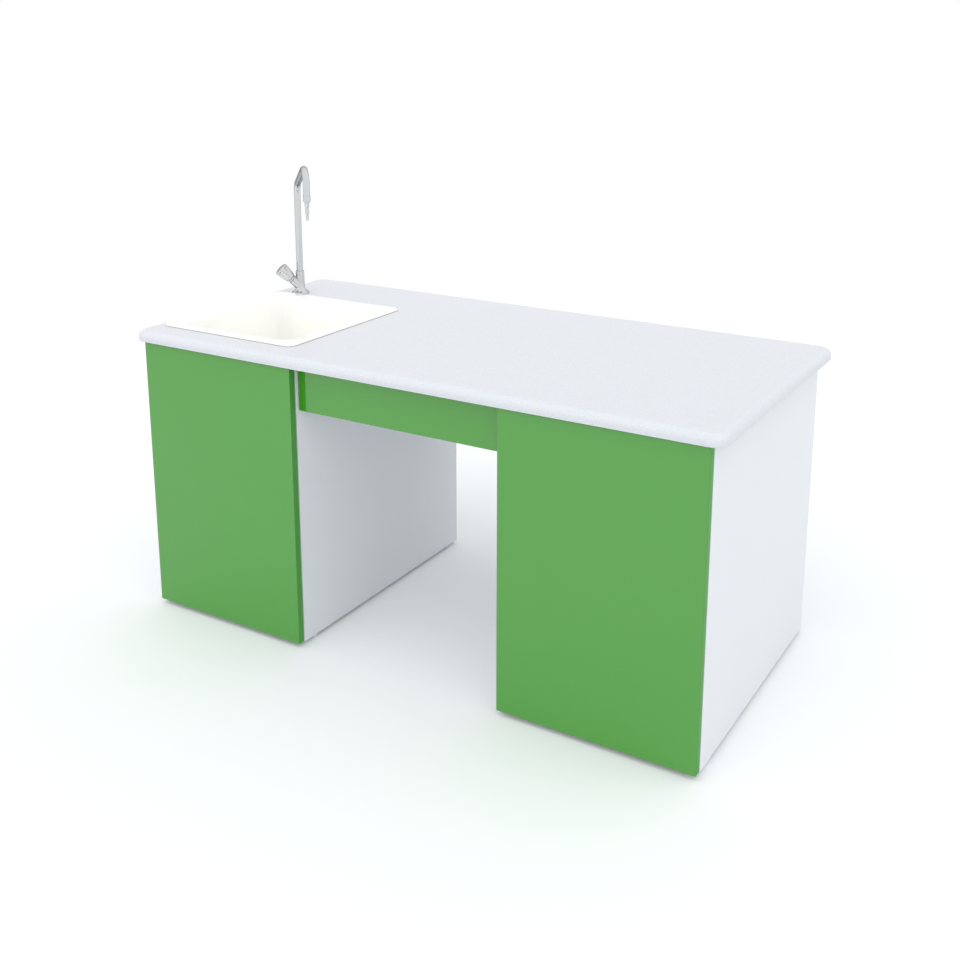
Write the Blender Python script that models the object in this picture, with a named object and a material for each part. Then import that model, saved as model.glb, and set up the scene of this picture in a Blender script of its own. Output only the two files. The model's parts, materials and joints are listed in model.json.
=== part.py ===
# Laboratory table: two pedestals with doors, a drawer over the knee space, a drop-in sink and a
# swivel tap. Metres, +Z up, +X to the right along the front, and the front faces -Y.
# The origin is on the floor under the middle of the worktop.
import math

import bmesh
import bpy
from mathutils import Matrix, Vector

# Worktop
TOP_LENGTH = 1.525
TOP_DEPTH = 0.744
TOP_HEIGHT = 0.730
TOP_THICK = 0.026
TOP_CORNER = 0.036
TOP_ROUND = 0.018
UNDER_EASE = 0.0015
SIDE_OVERHANG = 0.030
FRONT_OVERHANG = 0.011
REAR_OVERHANG = 0.023

# Pedestals and the boards they are made of
BOARD = 0.019
BOARD_EASE = 0.0008
BACK_BOARD = 0.005
BACK_INSET = 0.003
PEDESTAL_WIDTH = 0.4585
FOOT_HEIGHT = 0.009
FOOT_RADIUS = 0.0085
FOOT_FLAT = 0.0068
FOOT_EDGE = 0.003
FOOT_INSET = 0.045
RAIL_HEIGHT = 0.080
STRETCHER_HEIGHT = 0.100
SHELF_HEIGHT = 0.360
SHELF_SETBACK = 0.025
SHELF_PLAY = 0.0006
PEG_RADIUS = 0.0025
PEG_DEPTH = 0.009
PEG_REACH = 0.009
PEG_COLLAR = 0.0015
PEG_SETBACK = 0.060

# Doors
DOOR_LIFT = 0.003
DOOR_TOP_GAP = 0.003
DOOR_GAP = 0.003
DOOR_EASE = 0.0012

# Door hinges, each a cup with a pin in the door and an arm on the side board
HINGE_INSET = 0.105
HINGE_EDGE = 0.0075
HINGE_DEPTH = 0.009
CUP_EDGE = 0.003
CUP_RADIUS = 0.0175
CUP_WALL = 0.001
CUP_DEPTH = 0.0132
CUP_FLANGE = 0.001
CUP_EAR_LENGTH = 0.052
CUP_EAR_WIDTH = 0.022
HINGE_PIN_RADIUS = 0.0012
HINGE_EYE_WALL = 0.0008
ARM_SHEET = 0.0022
ARM_WIDTH = 0.011
ARM_OFFSET = 0.0035
ARM_HEIGHT = 0.010
ARM_LENGTH = 0.050
PLATE_SHEET = 0.0025
PLATE_LENGTH = 0.030
PLATE_WIDTH = 0.044

# Push latches
LATCH_LEVEL = 0.450
LATCH_WIDTH = 0.014
LATCH_TALL = 0.020
LATCH_LENGTH = 0.060
LATCH_SETBACK = 0.002
PLUNGER_RADIUS = 0.004
PLUNGER_TAIL = 0.022
PLUNGER_TRAVEL = 0.0025

# Drawer over the knee space
DRAWER_RECESS = 0.0285
DRAWER_FRONT_HEIGHT = 0.107
DRAWER_TOP_GAP = 0.003
DRAWER_SIDE_GAP = 0.002
FINGER_GRIP = 0.009
DRAWER_BOX_LENGTH = 0.440
DRAWER_BOX_HEIGHT = 0.070
DRAWER_BOX_DROP = 0.024
DRAWER_WALL = 0.012
DRAWER_FLOOR = 0.005
DRAWER_FLOOR_RISE = 0.008
RUNNER_SPACE = 0.013
RUNNER_HEIGHT = 0.036
RUNNER_SHEET = 0.0012
RUNNER_LIP = 0.0075
RUNNER_LENGTH = 0.420
RUNNER_SETBACK = 0.008

# Sink, waste and trap
BOWL_WIDTH = 0.348
BOWL_LENGTH = 0.379
BOWL_HEIGHT = 0.185
BOWL_WALL = 0.004
BOWL_CORNER = 0.048
BOWL_FILLET = 0.036
BOWL_DRAFT = 0.007
BOWL_FALL = 0.004
BOWL_SIDE_GAP = 0.0095
RIM_LAND = 0.034
RIM_CORNER = 0.022
RIM_HEIGHT = 0.0045
RIM_EDGE = 0.0025
RIM_FRONT = 0.071
LIP_RADIUS = 0.009
CUTOUT_GAP = 0.0015
DRAIN_RADIUS = 0.0215
WASTE_FLANGE = 0.033
WASTE_FLANGE_THICK = 0.003
WASTE_SEAT_EDGE = 0.003
WASTE_RADIUS = 0.020
WASTE_WALL = 0.003
WASTE_TAIL = 0.062
GRID_HOLES = 6
GRID_HOLE_RADIUS = 0.0032
GRID_RING = 0.0105
WASTE_NUT_RADIUS = 0.031
WASTE_NUT_HEIGHT = 0.011
TRAP_NUT_RADIUS = 0.027
TRAP_NUT_HEIGHT = 0.024
TRAP_RADIUS = 0.030
TRAP_HEIGHT = 0.125
TRAP_CAP_HEIGHT = 0.024
TRAP_CAP_LIP = 0.003
TRAP_BRANCH_DROP = 0.048
TRAP_BRANCH_RADIUS = 0.022
TRAP_BRANCH_REACH = 0.052
TRAP_SOCKET = 0.018
DRAIN_PIPE_RADIUS = 0.016
DRAIN_PIPE_WALL = 0.0025
SERVICE_WIDTH = 0.220
SERVICE_HEIGHT = 0.200

# Tap
TAP_FROM_RIM_END = 0.057
TAP_CLEAR = 0.0015
TAP_FLANGE_RADIUS = 0.0235
TAP_FLANGE_HEIGHT = 0.0065
TAP_FLANGE_EDGE = 0.0039
TAP_FLANGE_CROWN = 0.0176
TAP_BODY_RADIUS = 0.0118
TAP_BODY_HEIGHT = 0.064
TAP_BODY_FOOT = 0.0128
TAP_SOCKET = 0.022
SHANK_RADIUS = 0.010
SHANK_HOLE_GAP = 0.0015
SHANK_DROP = 0.040
BACKNUT_RADIUS = 0.018
BACKNUT_HEIGHT = 0.009
BRANCH_RADIUS = 0.0123
BRANCH_LENGTH = 0.030
BRANCH_RISE = 0.0185
BONNET_STUB_RADIUS = 0.0062
BONNET_STUB = 0.007
BONNET_HEX = 0.0126
BONNET_HEX_LENGTH = 0.005
SPINDLE_RADIUS = 0.0045
SPINDLE_REACH = 0.024
KNOB_GAP = 0.0008
KNOB_LENGTH = 0.042
KNOB_NECK = 0.0135
KNOB_RADIUS = 0.019
KNOB_DOME = 0.006
KNOB_CROWN_POWER = 0.6
KNOB_LOBES = 5
KNOB_FLUTE = 0.0014
SPOUT_RADIUS = 0.009
SPOUT_RISE = 0.2805
FIRST_BEND_RADIUS = 0.036
FIRST_BEND = math.radians(66)
SPOUT_ARM = 0.112
LAST_BEND_RADIUS = 0.035
SPOUT_LEG = 0.046
SPOUT_TURN = math.radians(48)
HANDLE_TURN = math.radians(-45)
HANDLE_TILT = math.radians(45)
COLLAR_RADIUS = 0.0100
COLLAR_LENGTH = 0.017
COLLAR_FLOOR = 0.003
COLLAR_EASE = 0.0015
NOZZLE_LENGTH = 0.049
NOZZLE_TOP_BARB = 0.0064
NOZZLE_LOW_BARB = 0.0055
NOZZLE_NECK = 0.0047
NOZZLE_TIP = 0.0037
NOZZLE_BORE = 0.0022

# Clearances: FIT between faces that touch, PLAY where one piece turns or slides in another
FIT = 0.0003
PLAY = 0.0004

# Facet counts
ROUND = 24
SMALL_ROUND = 16
CORNER_STEPS = 6

# Places that several pieces share
carcass_half = TOP_LENGTH / 2 - SIDE_OVERHANG
knee_half = carcass_half - PEDESTAL_WIDTH
under_top = TOP_HEIGHT - TOP_THICK
board_top = under_top - FIT
door_front = -TOP_DEPTH / 2 + FRONT_OVERHANG
door_back = door_front + BOARD
carcass_front = door_back + DOOR_GAP
carcass_rear = TOP_DEPTH / 2 - REAR_OVERHANG
back_rear = carcass_rear - BACK_INSET
back_front = back_rear - BACK_BOARD
door_bottom = FOOT_HEIGHT + DOOR_LIFT
door_top = under_top - DOOR_TOP_GAP
floor_top = FOOT_HEIGHT + BOARD

bowl_left = -carcass_half + BOARD + BOWL_SIDE_GAP + BOWL_WALL
bowl_x = bowl_left + BOWL_WIDTH / 2
rim_front = -TOP_DEPTH / 2 + RIM_FRONT
bowl_y = rim_front + RIM_LAND + BOWL_LENGTH / 2
rim_rear = rim_front + 2 * RIM_LAND + BOWL_LENGTH
rim_top = TOP_HEIGHT + RIM_HEIGHT
bowl_floor = rim_top - BOWL_HEIGHT
drain_top = bowl_floor - BOWL_FALL
tap_x = bowl_left - RIM_LAND + TAP_FROM_RIM_END
tap_y = rim_rear + TAP_CLEAR + TAP_FLANGE_RADIUS

waste_seat = drain_top + FIT
waste_end = waste_seat - WASTE_TAIL
trap_top = waste_end + TRAP_NUT_HEIGHT - FIT
trap_branch_z = trap_top - TRAP_BRANCH_DROP

GREEN = (0.094, 0.330, 0.070, 1.0)
WHITE = (0.800, 0.820, 0.840, 1.0)
GREY_WHITE = (0.760, 0.790, 0.830, 1.0)
CERAMIC = (0.900, 0.900, 0.860, 1.0)
CHROME = (0.700, 0.710, 0.720, 1.0)
ZINC = (0.560, 0.570, 0.580, 1.0)
PLASTIC = (0.780, 0.780, 0.770, 1.0)


def clear_scene():
    for item in list(bpy.data.objects):
        bpy.data.objects.remove(item, do_unlink=True)


def finish_of(name, colour, roughness, metallic):
    skin = bpy.data.materials.new(name)
    skin.use_nodes = True
    shader = skin.node_tree.nodes["Principled BSDF"]
    shader.inputs["Base Color"].default_value = colour
    shader.inputs["Roughness"].default_value = roughness
    shader.inputs["Metallic"].default_value = metallic
    return skin


def place(name, mesh_data, look, origin=None):
    # Turns a bmesh in world space into a named object with its origin at a chosen point.
    bmesh.ops.recalc_face_normals(mesh_data, faces=mesh_data.faces)
    corners = [v.co for v in mesh_data.verts]
    if origin is None:
        low = Vector([min(c[i] for c in corners) for i in range(3)])
        high = Vector([max(c[i] for c in corners) for i in range(3)])
        origin = (low + high) / 2
    origin = Vector(origin)
    bmesh.ops.translate(mesh_data, vec=-origin, verts=mesh_data.verts)
    mesh = bpy.data.meshes.new(name)
    mesh_data.to_mesh(mesh)
    mesh_data.free()
    item = bpy.data.objects.new(name, mesh)
    item.location = origin
    bpy.context.scene.collection.objects.link(item)
    colour, roughness, metallic = look
    mesh.materials.append(finish_of(name, colour, roughness, metallic))
    return item


def combine(item, tool, operation):
    # Cuts or joins with a Boolean, keeps the result as the item's mesh and removes the tool.
    step = item.modifiers.new("step", "BOOLEAN")
    step.operation = operation
    step.object = tool
    bpy.context.view_layer.update()
    graph = bpy.context.evaluated_depsgraph_get()
    solved = bpy.data.meshes.new_from_object(item.evaluated_get(graph))
    look = item.data.materials[0]
    old = item.data
    item.modifiers.clear()
    item.data = solved
    solved.name = item.name
    solved.materials.clear()
    solved.materials.append(look)
    bpy.data.meshes.remove(old)
    spare = tool.data.materials[0]
    bpy.data.objects.remove(tool, do_unlink=True)
    bpy.data.materials.remove(spare)
    return item


def cut(item, *tools):
    for tool in tools:
        combine(item, tool, "DIFFERENCE")
    return item


def join(item, *tools):
    for tool in tools:
        combine(item, tool, "UNION")
    return item


def smooth(item, angle=math.radians(40)):
    item.data.shade_smooth()
    item.data.set_sharp_from_angle(angle=angle)
    return item


def block(name, low, high, look):
    low = Vector(low)
    high = Vector(high)
    shape = bmesh.new()
    bmesh.ops.create_cube(shape, size=1.0)
    bmesh.ops.scale(shape, vec=high - low, verts=shape.verts)
    bmesh.ops.translate(shape, vec=(low + high) / 2, verts=shape.verts)
    return place(name, shape, look)


def board(name, low, high, look, ease=BOARD_EASE, steps=1):
    # A cut board with its edges slightly eased.
    item = block(name, low, high, look)
    soft = item.modifiers.new("eased edges", "BEVEL")
    soft.width = ease
    soft.segments = steps
    return item


def loft(name, rings, look, origin=None, looped=False):
    # Skins rings of equal count. A ring of one point is a tip, an open end gets a flat cap, and a
    # looped set closes on itself around a hole.
    shape = bmesh.new()
    made = [[shape.verts.new(p) for p in ring] for ring in rings]
    pairs = list(zip(made, made[1:]))
    if looped:
        pairs.append((made[-1], made[0]))
    for first, second in pairs:
        count = max(len(first), len(second))
        for i in range(count):
            j = (i + 1) % count
            if len(first) == 1:
                shape.faces.new((first[0], second[i], second[j]))
            elif len(second) == 1:
                shape.faces.new((first[i], first[j], second[0]))
            else:
                shape.faces.new((first[i], first[j], second[j], second[i]))
    if not looped:
        for end in (made[0], made[-1]):
            if len(end) > 1:
                shape.faces.new(end)
    return place(name, shape, look, origin)


def axis_frame(base, direction):
    # A matrix whose Z runs along the direction from the base point.
    turn = Vector((0, 0, 1)).rotation_difference(Vector(direction).normalized())
    return Matrix.Translation(Vector(base)) @ turn.to_matrix().to_4x4()


def turned(name, profile, base, direction, look, sides=ROUND, origin=None, looped=False, flute=None):
    # Turns (radius, distance) points about an axis. A flute function varies the radius round it.
    frame = axis_frame(base, direction)
    rings = []
    for radius, along in profile:
        if radius == 0:
            rings.append([frame @ Vector((0, 0, along))])
            continue
        ring = []
        for i in range(sides):
            angle = 2 * math.pi * i / sides
            reach = radius if flute is None else radius - flute(radius, along, angle)
            ring.append(frame @ Vector((reach * math.cos(angle), reach * math.sin(angle), along)))
        rings.append(ring)
    item = loft(name, rings, look, base if origin is None else origin, looped)
    return smooth(item)


def rod(name, radius, base, direction, length, look, sides=ROUND):
    return turned(name, [(radius, 0), (radius, length)], base, direction, look, sides)


def prism(name, outline, axis, low, high, look):
    # Extrudes an outline along a main axis. Outline points fill the other two axes in XYZ order.
    rings = []
    for level in (low, high):
        ring = []
        for a, b in outline:
            point = [a, b]
            point.insert(axis, level)
            ring.append(Vector(point))
        rings.append(ring)
    return loft(name, rings, look)


def rounded_rectangle(centre, width, length, radius, level, steps=CORNER_STEPS):
    points = []
    for quarter in range(4):
        side_x = 1 if quarter in (0, 3) else -1
        side_y = 1 if quarter in (0, 1) else -1
        corner_x = centre[0] + side_x * (width / 2 - radius)
        corner_y = centre[1] + side_y * (length / 2 - radius)
        for step in range(steps + 1):
            angle = math.pi / 2 * (quarter + step / steps)
            points.append(Vector((corner_x + radius * math.cos(angle),
                                  corner_y + radius * math.sin(angle), level)))
    return points


def arc(count):
    # Angles of a quarter turn, ends included.
    return [math.pi / 2 * i / count for i in range(count + 1)]


def pedestal_x(side, inward):
    # X at a distance inward from a pedestal's outer face. The left pedestal is side -1.
    return side * (carcass_half - inward)


def spread(side, first, second):
    # The two X values of a piece between two inward distances, smaller first.
    return sorted((pedestal_x(side, first), pedestal_x(side, second)))


LAMINATE = (WHITE, 0.45, 0.0)
GLOSS_GREEN = (GREEN, 0.12, 0.0)
METAL = (ZINC, 0.35, 1.0)
BRIGHT = (CHROME, 0.12, 1.0)
MOULDED = (PLASTIC, 0.4, 0.0)


def make_worktop():
    centre = (0.0, 0.0)

    def outline(inset, level):
        return rounded_rectangle(centre, TOP_LENGTH - 2 * inset, TOP_DEPTH - 2 * inset,
                                 TOP_CORNER - inset, level)

    rings = []
    for angle in arc(2):
        inset = UNDER_EASE * (1 - math.sin(angle))
        rings.append(outline(inset, under_top + UNDER_EASE * (1 - math.cos(angle))))
    for angle in arc(5):
        inset = TOP_ROUND * (1 - math.cos(angle))
        rings.append(outline(inset, TOP_HEIGHT - TOP_ROUND * (1 - math.sin(angle))))
    top = loft("worktop", rings, (GREY_WHITE, 0.35, 0.0))
    grow = 2 * (BOWL_WALL + LIP_RADIUS + CUTOUT_GAP)
    hole = loft("sink cutter", [
        rounded_rectangle((bowl_x, bowl_y), BOWL_WIDTH + grow, BOWL_LENGTH + grow,
                          BOWL_CORNER + grow / 2, level)
        for level in (under_top - BOARD, TOP_HEIGHT + BOARD)], LAMINATE)
    shank = rod("tap cutter", SHANK_RADIUS + SHANK_HOLE_GAP, (tap_x, tap_y, under_top - BOARD),
                (0, 0, 1), TOP_THICK + 2 * BOARD, LAMINATE, SMALL_ROUND)
    return smooth(cut(top, hole, shank), math.radians(30))


def make_sides(side, word):
    has_shelf = side > 0
    for inner, label in ((False, "outer"), (True, "inner")):
        start = PEDESTAL_WIDTH - BOARD if inner else 0.0
        x = spread(side, start, start + BOARD)
        panel = board(f"{word}_{label}_side", (x[0], carcass_front, FOOT_HEIGHT),
                      (x[1], carcass_rear, board_top), LAMINATE)
        if has_shelf:
            for y in (carcass_front + PEG_SETBACK, back_front - PEG_SETBACK):
                face = pedestal_x(side, PEDESTAL_WIDTH - BOARD if inner else BOARD)
                into = side * (-1 if inner else 1)
                drill = rod("peg cutter", PEG_RADIUS + FIT, (face - into * PEG_REACH, y, peg_level()),
                            (into, 0, 0), PEG_REACH + PEG_DEPTH + FIT, LAMINATE, SMALL_ROUND)
                cut(panel, drill)


def peg_level():
    return SHELF_HEIGHT - FIT - PEG_RADIUS


def make_floor_and_back(side, word):
    x = spread(side, BOARD + FIT, PEDESTAL_WIDTH - BOARD - FIT)
    board(f"{word}_bottom", (x[0], carcass_front, FOOT_HEIGHT),
          (x[1], back_front - FIT, floor_top), LAMINATE)
    back = board(f"{word}_back", (x[0], back_front, FOOT_HEIGHT), (x[1], back_rear, board_top),
                 (WHITE, 0.6, 0.0), BOARD_EASE / 2)
    return back, x


def make_left_pedestal():
    make_sides(-1, "left")
    back, x = make_floor_and_back(-1, "left")
    window = block("service cutter",
                   (bowl_x - SERVICE_WIDTH / 2, back_front - BOARD, trap_branch_z - SERVICE_HEIGHT / 2),
                   (bowl_x + SERVICE_WIDTH / 2, back_rear + BOARD, trap_branch_z + SERVICE_HEIGHT / 2),
                   LAMINATE)
    cut(back, window)
    rail_low = board_top - RAIL_HEIGHT
    board("left_front_rail", (x[0], carcass_front, rail_low),
          (x[1], carcass_front + BOARD, board_top), LAMINATE)
    board("left_rear_rail", (x[0], back_front - FIT - BOARD, rail_low),
          (x[1], back_front - FIT, board_top), LAMINATE)


def make_right_pedestal():
    make_sides(1, "right")
    x = make_floor_and_back(1, "right")[1]
    board("right_top", (x[0], carcass_front, board_top - BOARD),
          (x[1], back_front - FIT, board_top), LAMINATE)
    board("right_shelf", (x[0] + SHELF_PLAY, carcass_front + SHELF_SETBACK, SHELF_HEIGHT),
          (x[1] - SHELF_PLAY, back_front - SHELF_PLAY, SHELF_HEIGHT + BOARD), LAMINATE)
    number = 0
    for inward, into in ((BOARD, 1), (PEDESTAL_WIDTH - BOARD, -1)):
        for y in (carcass_front + PEG_SETBACK, back_front - PEG_SETBACK):
            number += 1
            profile = [(0, PEG_DEPTH), (PEG_RADIUS, PEG_DEPTH), (PEG_RADIUS, -FIT),
                       (2 * PEG_RADIUS - FIT, -FIT), (2 * PEG_RADIUS - FIT, -FIT - PEG_COLLAR),
                       (PEG_RADIUS, -FIT - PEG_COLLAR), (PEG_RADIUS, -PEG_REACH), (0, -PEG_REACH)]
            make_peg(f"shelf_peg_{number}", profile, (pedestal_x(1, inward), y, peg_level()), into)


def make_peg(name, profile, face, into):
    # The collar is trimmed flat above so that the shelf lies on the peg itself.
    peg = turned(name, profile, face, (into, 0, 0), METAL, SMALL_ROUND)
    reach = PEG_REACH + PEG_DEPTH
    trim = block("collar cutter", (face[0] - reach, face[1] - reach, face[2] + PEG_RADIUS),
                 (face[0] + reach, face[1] + reach, face[2] + reach), METAL)
    return cut(peg, trim)


def make_stretcher():
    return board("rear_stretcher",
                 (-knee_half + FIT, carcass_rear - BOARD, board_top - STRETCHER_HEIGHT),
                 (knee_half - FIT, carcass_rear, board_top), LAMINATE)


def make_glides():
    number = 0
    profile = [(0, 0), (FOOT_FLAT, 0), (FOOT_RADIUS, FOOT_EDGE),
               (FOOT_RADIUS, FOOT_HEIGHT - FIT), (0, FOOT_HEIGHT - FIT)]
    for side in (-1, 1):
        for inward in (BOARD / 2, PEDESTAL_WIDTH - BOARD / 2):
            for y in (carcass_front + FOOT_INSET, carcass_rear - FOOT_INSET):
                number += 1
                turned(f"glide_{number}", profile, (pedestal_x(side, inward), y, 0), (0, 0, 1),
                       MOULDED, SMALL_ROUND)


def hinge_levels():
    return door_bottom + HINGE_INSET, door_top - HINGE_INSET


def hinge_axis(side):
    return pedestal_x(side, HINGE_EDGE), door_back - HINGE_DEPTH


def cup_inward():
    return CUP_EDGE + CUP_RADIUS


def make_door(side, word):
    x = spread(side, 0, PEDESTAL_WIDTH)
    door = board(f"{word}_door", (x[0], door_front, door_bottom), (x[1], door_back, door_top),
                 GLOSS_GREEN, DOOR_EASE, 2)
    for level in hinge_levels():
        cut(door, rod("cup cutter", CUP_RADIUS + FIT,
                      (pedestal_x(side, cup_inward()), door_back - CUP_DEPTH - FIT, level),
                      (0, 1, 0), CUP_DEPTH + BOARD, GLOSS_GREEN))
    axis_x, axis_y = hinge_axis(side)
    move_origin(door, Vector((axis_x, axis_y, 0)))


def move_origin(item, point):
    item.data.transform(Matrix.Translation(item.location - point))
    item.location = point


def make_hinge(side, word, label, level):
    axis_x, axis_y = hinge_axis(side)
    cup_x = pedestal_x(side, cup_inward())
    name = f"{word}_{label}_hinge"

    # The cup: a pressed bowl with a flange, two ears and a riveted pin.
    cup = rod(f"{name}_cup", CUP_RADIUS, (cup_x, door_back - CUP_DEPTH, level), (0, 1, 0),
              CUP_DEPTH + FIT + CUP_FLANGE, METAL)
    ear_x = cup_x - side * (CUP_EAR_WIDTH / 4)
    ears = loft("ears", [
        [Vector((p.x, y, p.y)) for p in rounded_rectangle(
            (ear_x, level), CUP_EAR_WIDTH, CUP_EAR_LENGTH, CUP_EAR_WIDTH / 3, 0, 3)]
        for y in (door_back + FIT, door_back + FIT + CUP_FLANGE)], METAL)
    join(cup, ears)
    hollow = rod("hollow", CUP_RADIUS - CUP_WALL, (cup_x, door_back - CUP_DEPTH + CUP_WALL, level),
                 (0, 1, 0), CUP_DEPTH + BOARD, METAL)
    cut(cup, hollow)
    offset = cup_inward() - HINGE_EDGE
    middle = CUP_RADIUS - CUP_WALL / 2
    half = math.sqrt(middle ** 2 - (offset + HINGE_PIN_RADIUS) ** 2)
    join(cup, rod("pin", HINGE_PIN_RADIUS, (axis_x, axis_y, level - half), (0, 0, 1), 2 * half,
                  METAL, 12))
    smooth(cup)
    move_origin(cup, Vector((axis_x, axis_y, level)))

    # The arm: an eye round the pin, a cranked strip out of the cup and a foot on the side board.
    half_sheet = ARM_SHEET / 2
    riser = BOARD + ARM_OFFSET
    foot = BOARD + FIT
    strip = axis_y - door_back
    bend = DOOR_GAP + ARM_SHEET
    shape = [(HINGE_EDGE, strip - half_sheet), (riser + half_sheet, strip - half_sheet),
             (riser + half_sheet, bend + ARM_HEIGHT - ARM_SHEET),
             (foot + ARM_HEIGHT, 2 * ARM_HEIGHT), (foot + ARM_HEIGHT, ARM_LENGTH), (foot, ARM_LENGTH),
             (foot, bend), (riser - half_sheet, bend), (riser - half_sheet, strip + half_sheet),
             (HINGE_EDGE, strip + half_sheet)]
    outline = [(pedestal_x(side, u), door_back + v) for u, v in shape]
    arm = prism(f"{name}_arm", outline, 2, level - ARM_WIDTH / 2, level + ARM_WIDTH / 2, METAL)
    bore = HINGE_PIN_RADIUS + PLAY
    eye_low = level - ARM_WIDTH / 2
    join(arm, rod("eye", bore + HINGE_EYE_WALL, (axis_x, axis_y, eye_low), (0, 0, 1), ARM_WIDTH,
                  METAL, SMALL_ROUND))
    cut(arm, rod("eye bore", bore, (axis_x, axis_y, eye_low - BOARD), (0, 0, 1),
                 ARM_WIDTH + 2 * BOARD, METAL, SMALL_ROUND))
    x = spread(side, foot, foot + PLATE_SHEET)
    plate_end = door_back + ARM_LENGTH - BOARD_EASE
    join(arm, block("plate", (x[0], plate_end - PLATE_LENGTH, level - PLATE_WIDTH / 2),
                    (x[1], plate_end, level + PLATE_WIDTH / 2), METAL))
    smooth(arm)


def make_latch(side, word):
    # A push latch on the inner side board. Its plunger waits just behind the closed door.
    wall = PEDESTAL_WIDTH - BOARD - FIT
    x = spread(side, wall - LATCH_WIDTH, wall)
    front = carcass_front + LATCH_SETBACK
    middle_x = (x[0] + x[1]) / 2
    case = board(f"{word}_latch_case", (x[0], front, LATCH_LEVEL - LATCH_TALL / 2),
                 (x[1], front + LATCH_LENGTH, LATCH_LEVEL + LATCH_TALL / 2), MOULDED)
    depth = PLUNGER_TAIL + PLUNGER_TRAVEL + PLAY
    cut(case, rod("plunger bore", PLUNGER_RADIUS + PLAY, (middle_x, front - BOARD, LATCH_LEVEL),
                  (0, 1, 0), BOARD + depth, MOULDED, SMALL_ROUND))
    nose = door_back + FIT
    dome = PLUNGER_RADIUS / 4
    length = front + PLUNGER_TAIL - nose
    turned(f"{word}_latch_plunger",
           [(0, 0), (PLUNGER_RADIUS - dome, 0), (PLUNGER_RADIUS, dome), (PLUNGER_RADIUS, length),
            (0, length)], (middle_x, nose, LATCH_LEVEL), (0, 1, 0), MOULDED, SMALL_ROUND)


def make_drawer():
    front = door_front + DRAWER_RECESS
    top = under_top - DRAWER_TOP_GAP
    low = top - DRAWER_FRONT_HEIGHT
    half = knee_half - DRAWER_SIDE_GAP
    ease = DOOR_EASE
    # Outline in Y and Z: the lower back edge is cut away as a finger grip.
    outline = [(front + ease, low), (front + BOARD - FINGER_GRIP, low),
               (front + BOARD, low + 2 * FINGER_GRIP), (front + BOARD, top),
               (front + ease, top), (front, top - ease), (front, low + ease)]
    prism("drawer_front", outline, 0, -half, half, GLOSS_GREEN)

    box_start = front + BOARD + FIT
    box_end = box_start + DRAWER_BOX_LENGTH
    box_top = under_top - DRAWER_BOX_DROP
    box_low = box_top - DRAWER_BOX_HEIGHT
    outer = knee_half - RUNNER_SPACE
    inner = outer - DRAWER_WALL
    for side, word in ((-1, "left"), (1, "right")):
        x = sorted((side * outer, side * inner))
        board(f"drawer_{word}_side", (x[0], box_start, box_low), (x[1], box_end, box_top), LAMINATE)
    reach = inner - FIT
    floor_low = box_low + DRAWER_FLOOR_RISE
    floor_end = box_end - DRAWER_WALL - FIT
    board("drawer_bottom", (-reach, box_start, floor_low), (reach, floor_end, floor_low + DRAWER_FLOOR),
          LAMINATE, BOARD_EASE / 2)
    board("drawer_back", (-reach, box_end - DRAWER_WALL, box_low), (reach, box_end, box_top), LAMINATE)
    make_runners(outer, box_start + RUNNER_SETBACK, (box_low + box_top) / 2)


def make_runners(box_half, start, level):
    # Two channels that face each other: the outer on the knee board, the inner on the drawer side.
    end = start + RUNNER_LENGTH
    sheet = RUNNER_SHEET
    tall = RUNNER_HEIGHT / 2
    short = tall - sheet - PLAY
    wall = knee_half - FIT
    web = box_half + FIT

    def channel(back, lip, height):
        return [(back, -height), (lip, -height), (lip, sheet - height),
                (back + sheet * math.copysign(1, lip - back), sheet - height),
                (back + sheet * math.copysign(1, lip - back), height - sheet),
                (lip, height - sheet), (lip, height), (back, height)]

    for side, word in ((-1, "left"), (1, "right")):
        outer = [(side * a, level + b) for a, b in channel(wall, wall - RUNNER_LIP, tall)]
        inner = [(side * a, level + b) for a, b in channel(web, web + RUNNER_LIP, short)]
        prism(f"runner_{word}_fixed", outer, 1, start, end, METAL)
        prism(f"runner_{word}_moving", inner, 1, start, end, METAL)


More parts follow.
